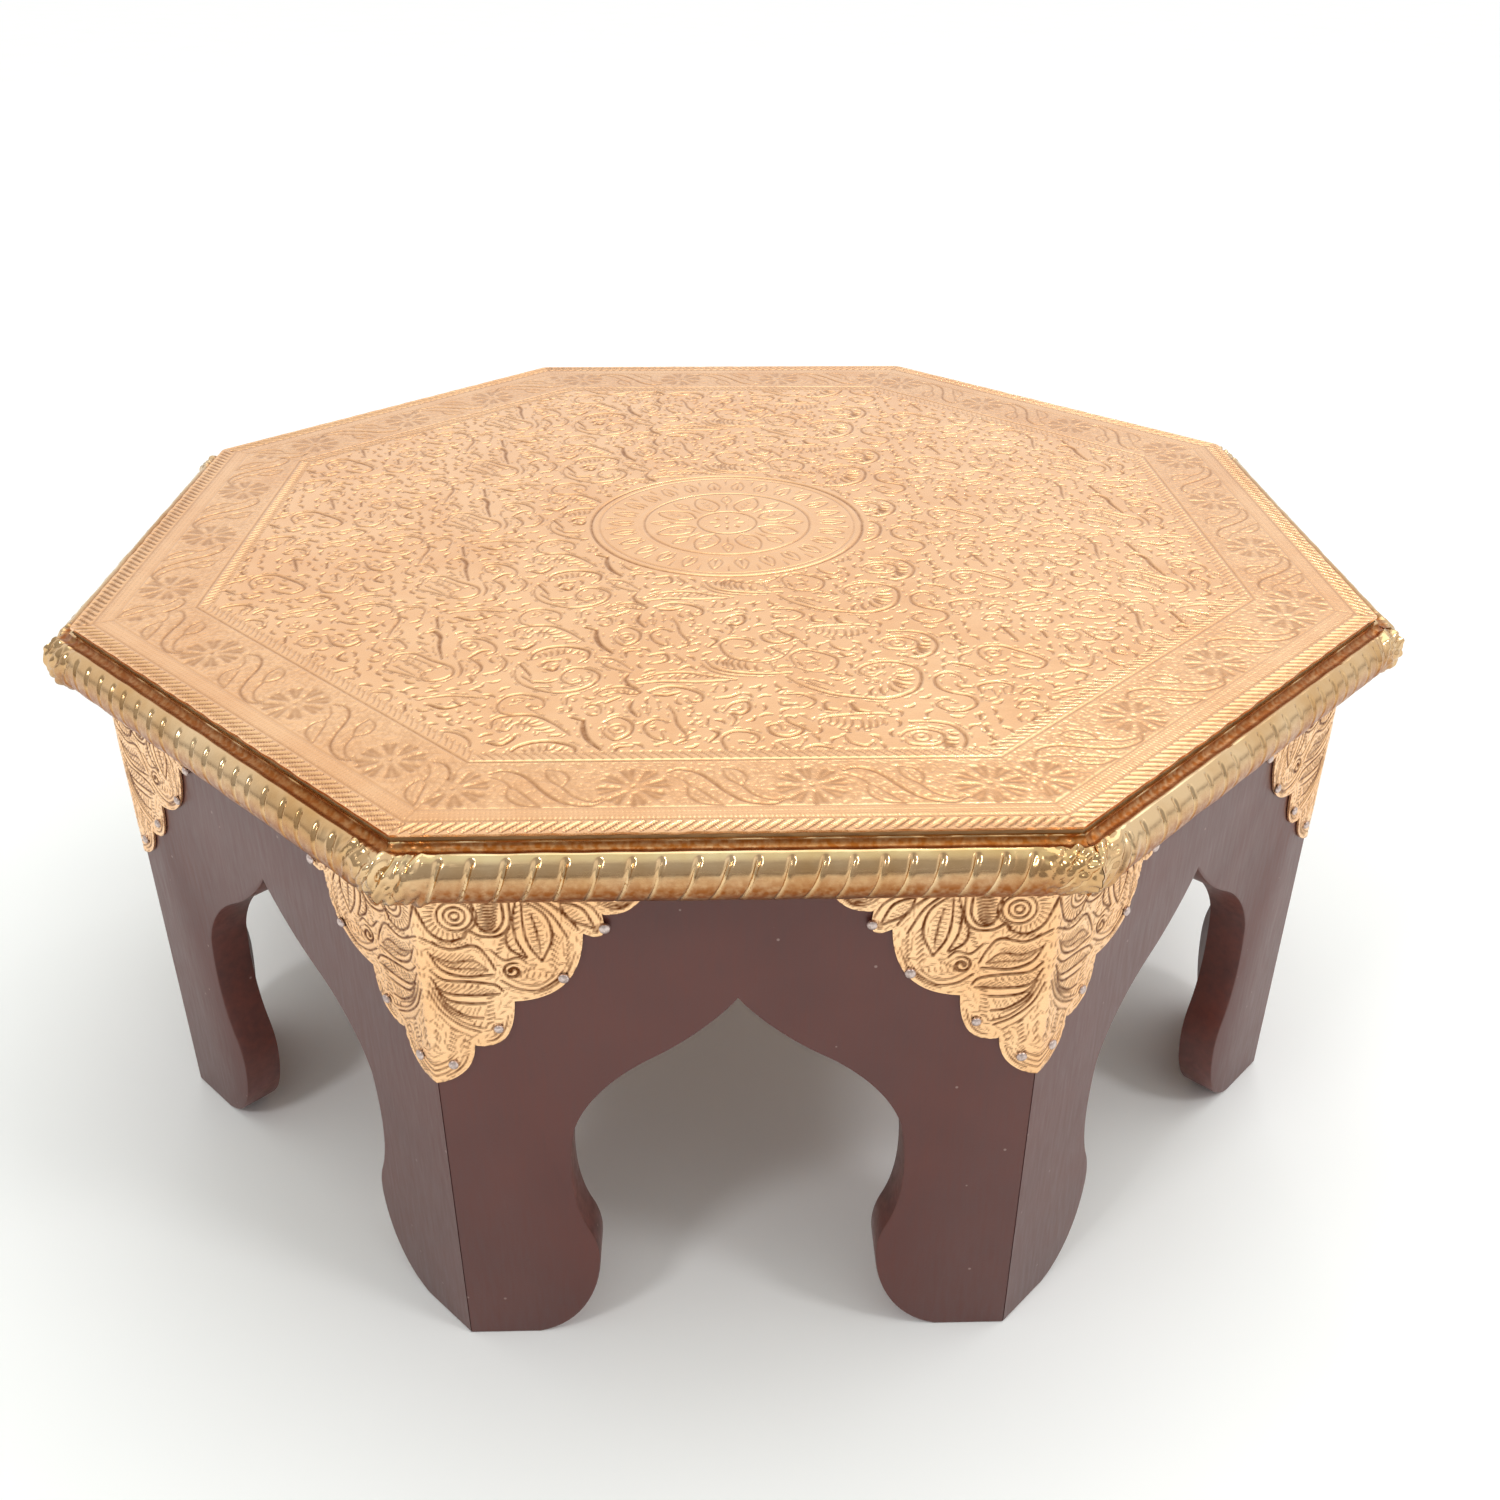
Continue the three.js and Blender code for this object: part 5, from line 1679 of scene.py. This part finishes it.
# %% Saw, mitre and ease the panels
def side_panel(number):
    count = len(panel_outline)
    bpy.ops.object.select_all(action="DESELECT")
    bpy.ops.mesh.primitive_circle_add(vertices=count, radius=MM, fill_type="NGON")
    panel = bpy.context.object
    face_points = np.stack([panel_outline[:, 0], np.full(count, -BODY_APOTHEM), panel_outline[:, 1]],
                           axis=1)
    order = np.array(panel.data.polygons[0].vertices)
    placed_points = np.empty_like(face_points)
    placed_points[order] = face_points
    move_points(panel, placed_points)
    bpy.ops.object.mode_set(mode="EDIT")
    bpy.ops.mesh.select_all(action="SELECT")
    bpy.ops.mesh.extrude_region_move(TRANSFORM_OT_translate={"value": (0, PANEL_THICK * MM, 0)})
    bpy.ops.mesh.select_all(action="SELECT")
    bpy.ops.mesh.normals_make_consistent(inside=False)
    bpy.ops.mesh.select_mode(type="EDGE")
    bpy.ops.mesh.select_all(action="DESELECT")
    bpy.ops.object.mode_set(mode="OBJECT")
    points = points_of(panel)
    sawn = (np.abs(points[:, 0]) < FACE_HALF - 1) & (points[:, 2] < BOARD_BOTTOM - 1)
    for edge in panel.data.edges:
        a, b = edge.vertices
        flat = abs(points[a, 1] - points[b, 1]) < 1
        edge.select = bool(flat and (sawn[a] or sawn[b]))
    bpy.ops.object.mode_set(mode="EDIT")
    bpy.ops.mesh.bevel(offset=EASED_EDGE * MM, segments=2, profile=0.5)
    bpy.ops.object.mode_set(mode="OBJECT")
    points = points_of(panel)
    ends = np.abs(points[:, 0]) > FACE_HALF - 0.05
    points[ends, 0] = np.sign(points[ends, 0]) * (-points[ends, 1] * TAN - MITRE_GAP)
    move_points(panel, turned(points, (number - 1) * SIDE_TURN))
    only(panel)
    bpy.ops.object.shade_smooth_by_angle(angle=math.radians(32))
    own(panel, f"painted_panel_{number}", PAINT, "painted_wood", f"side_panel_{number}")
    panel.data.materials.append(EDGE_PAINT)
    heading = (number - 1) * SIDE_TURN
    outward = Vector((math.sin(heading), -math.cos(heading), 0))
    across = Vector((math.cos(heading), math.sin(heading), 0))
    for face in panel.data.polygons:
        level = abs(face.center.dot(across)) / MM
        on_edge = abs(face.normal.dot(outward)) < 0.5 and level < FACE_HALF - 8
        face.material_index = int(on_edge and face.center.z < (BOARD_BOTTOM - 1) * MM)
    return panel


for number in range(1, SIDES + 1):
    panel = side_panel(number)
print("panels:", SIDES, "with", len(panel.data.polygons), "faces each")

# %% [markdown]
# ## Board, blocks and screws
# The parts inside are already right in the frame, so they keep their CAD meshes and take a
# finish: sawn board under the brass, softwood glue blocks in the corners, and steel screws.

# %% Dress the carried-over parts
def dress(name, material):
    item = bpy.data.objects[name]
    if not item.material_slots:
        item.data.materials.append(material)
    for place in item.material_slots:
        place.material = material


dress("top_board", BOARD_WOOD)
for number in range(1, SIDES + 1):
    dress(f"corner_block_{number}", BLOCK_WOOD)
    dress(f"block_screw_{number}", SCREW_STEEL)

# %% [markdown]
# ## Floor and studio
# The table stands on a plain white floor in a white room. The flat top mirrors the far wall as
# one even glow, and the ceiling is a little brighter, which shows on every slope that leans
# forward. The wall at the front left and the foot of every wall are dimmer, and shade the
# curved brass. Small softboxes put crisp glints on ribs and punch marks, and a broad, soft
# skylight from the back right keeps the floor white. What the camera sees behind it all is
# plain white.

# %% Floor
bpy.ops.object.select_all(action="DESELECT")
bpy.ops.mesh.primitive_plane_add(size=30)
floor = bpy.context.object
floor.name = "studio_floor"
material, add, place = new_material("white_studio_floor")
mottle = add("TexNoise", {"Vector": place, "Scale": 1 / 90, "Detail": 3})
white = add("Mix", {"Factor": mottle, "A": linear("#F7F7F7"), "B": linear("#FCFCFC")},
            data_type="RGBA")
shader = add("BsdfPrincipled", {"Base Color": white, "Roughness": 0.95})
add("OutputMaterial", {"Surface": shader})
floor.data.materials.append(material)


# %% Lights
def softbox(name, place, size, watts):
    """A square light facing the table."""
    bpy.ops.object.light_add(type="AREA", location=place)
    lamp = bpy.context.object
    lamp.name = name
    lamp.data.size = size
    lamp.data.energy = watts
    lamp.rotation_euler = (Vector((0, 0, 0.12)) - Vector(place)).to_track_quat("-Z", "Y").to_euler()


softbox("left_softbox", (-0.9, -1.1, 1.5), 0.3, 6)
softbox("right_softbox", (1.0, -0.7, 1.3), 0.25, 4)
softbox("far_spark", (0.35, 0.72, 1.35), 0.05, 0.3)

bpy.ops.object.light_add(type="SUN", location=(0.5, 0.6, 2))
skylight = bpy.context.object
skylight.name = "skylight"
skylight.data.energy = 0.7
skylight.data.angle = math.radians(55)
skylight.rotation_euler = Vector((-0.3, -0.4, -1.0)).to_track_quat("-Z", "Y").to_euler()

ROOM = 0.99
CEILING = 1.15
FRONT_LEFT = 0.5
WALL_FOOT = 0.5
DIM_SIDE = Vector((-0.5, -0.8, 0.33))

world = bpy.data.worlds.new("studio_room")
world.use_nodes = True
world.node_tree.nodes.clear()
add = partial(add_node, world.node_tree)
heading = add("TexCoord", take="Generated")
facing = add("VectorMath", {0: heading, 1: DIM_SIDE}, operation="DOT_PRODUCT")
rise = add("SeparateXYZ", {"Vector": heading}, take="Z")
front_wall = add("MapRange", {"Value": facing, "From Min": 0.3, "From Max": 0.7,
                              "To Min": ROOM, "To Max": FRONT_LEFT})
foot = add("MapRange", {"Value": rise, "From Min": 0.02, "From Max": 0.17, "To Min": WALL_FOOT})
walls = add("Math", {0: front_wall, 1: foot}, operation="MULTIPLY")
overhead = add("MapRange", {"Value": rise, "From Min": 0.74, "From Max": 0.94})
level = add("Mix", {"Factor": overhead, "A": walls, "B": CEILING})
tint = add("Mix", {"Factor": overhead, "A": linear("#FFFEFC"), "B": linear("#EAF6EE")},
           data_type="RGBA")
room = add("Background", {"Color": tint, "Strength": level})
backdrop = add("Background", {"Color": linear("#FFFFFF"), "Strength": 1.0})
seen = add("LightPath", take="Is Camera Ray")
surface = add("MixShader", {0: seen, 1: room, 2: backdrop})
add("OutputWorld", {"Surface": surface})
bpy.context.scene.world = world
bpy.context.scene.view_settings.view_transform = "Standard"
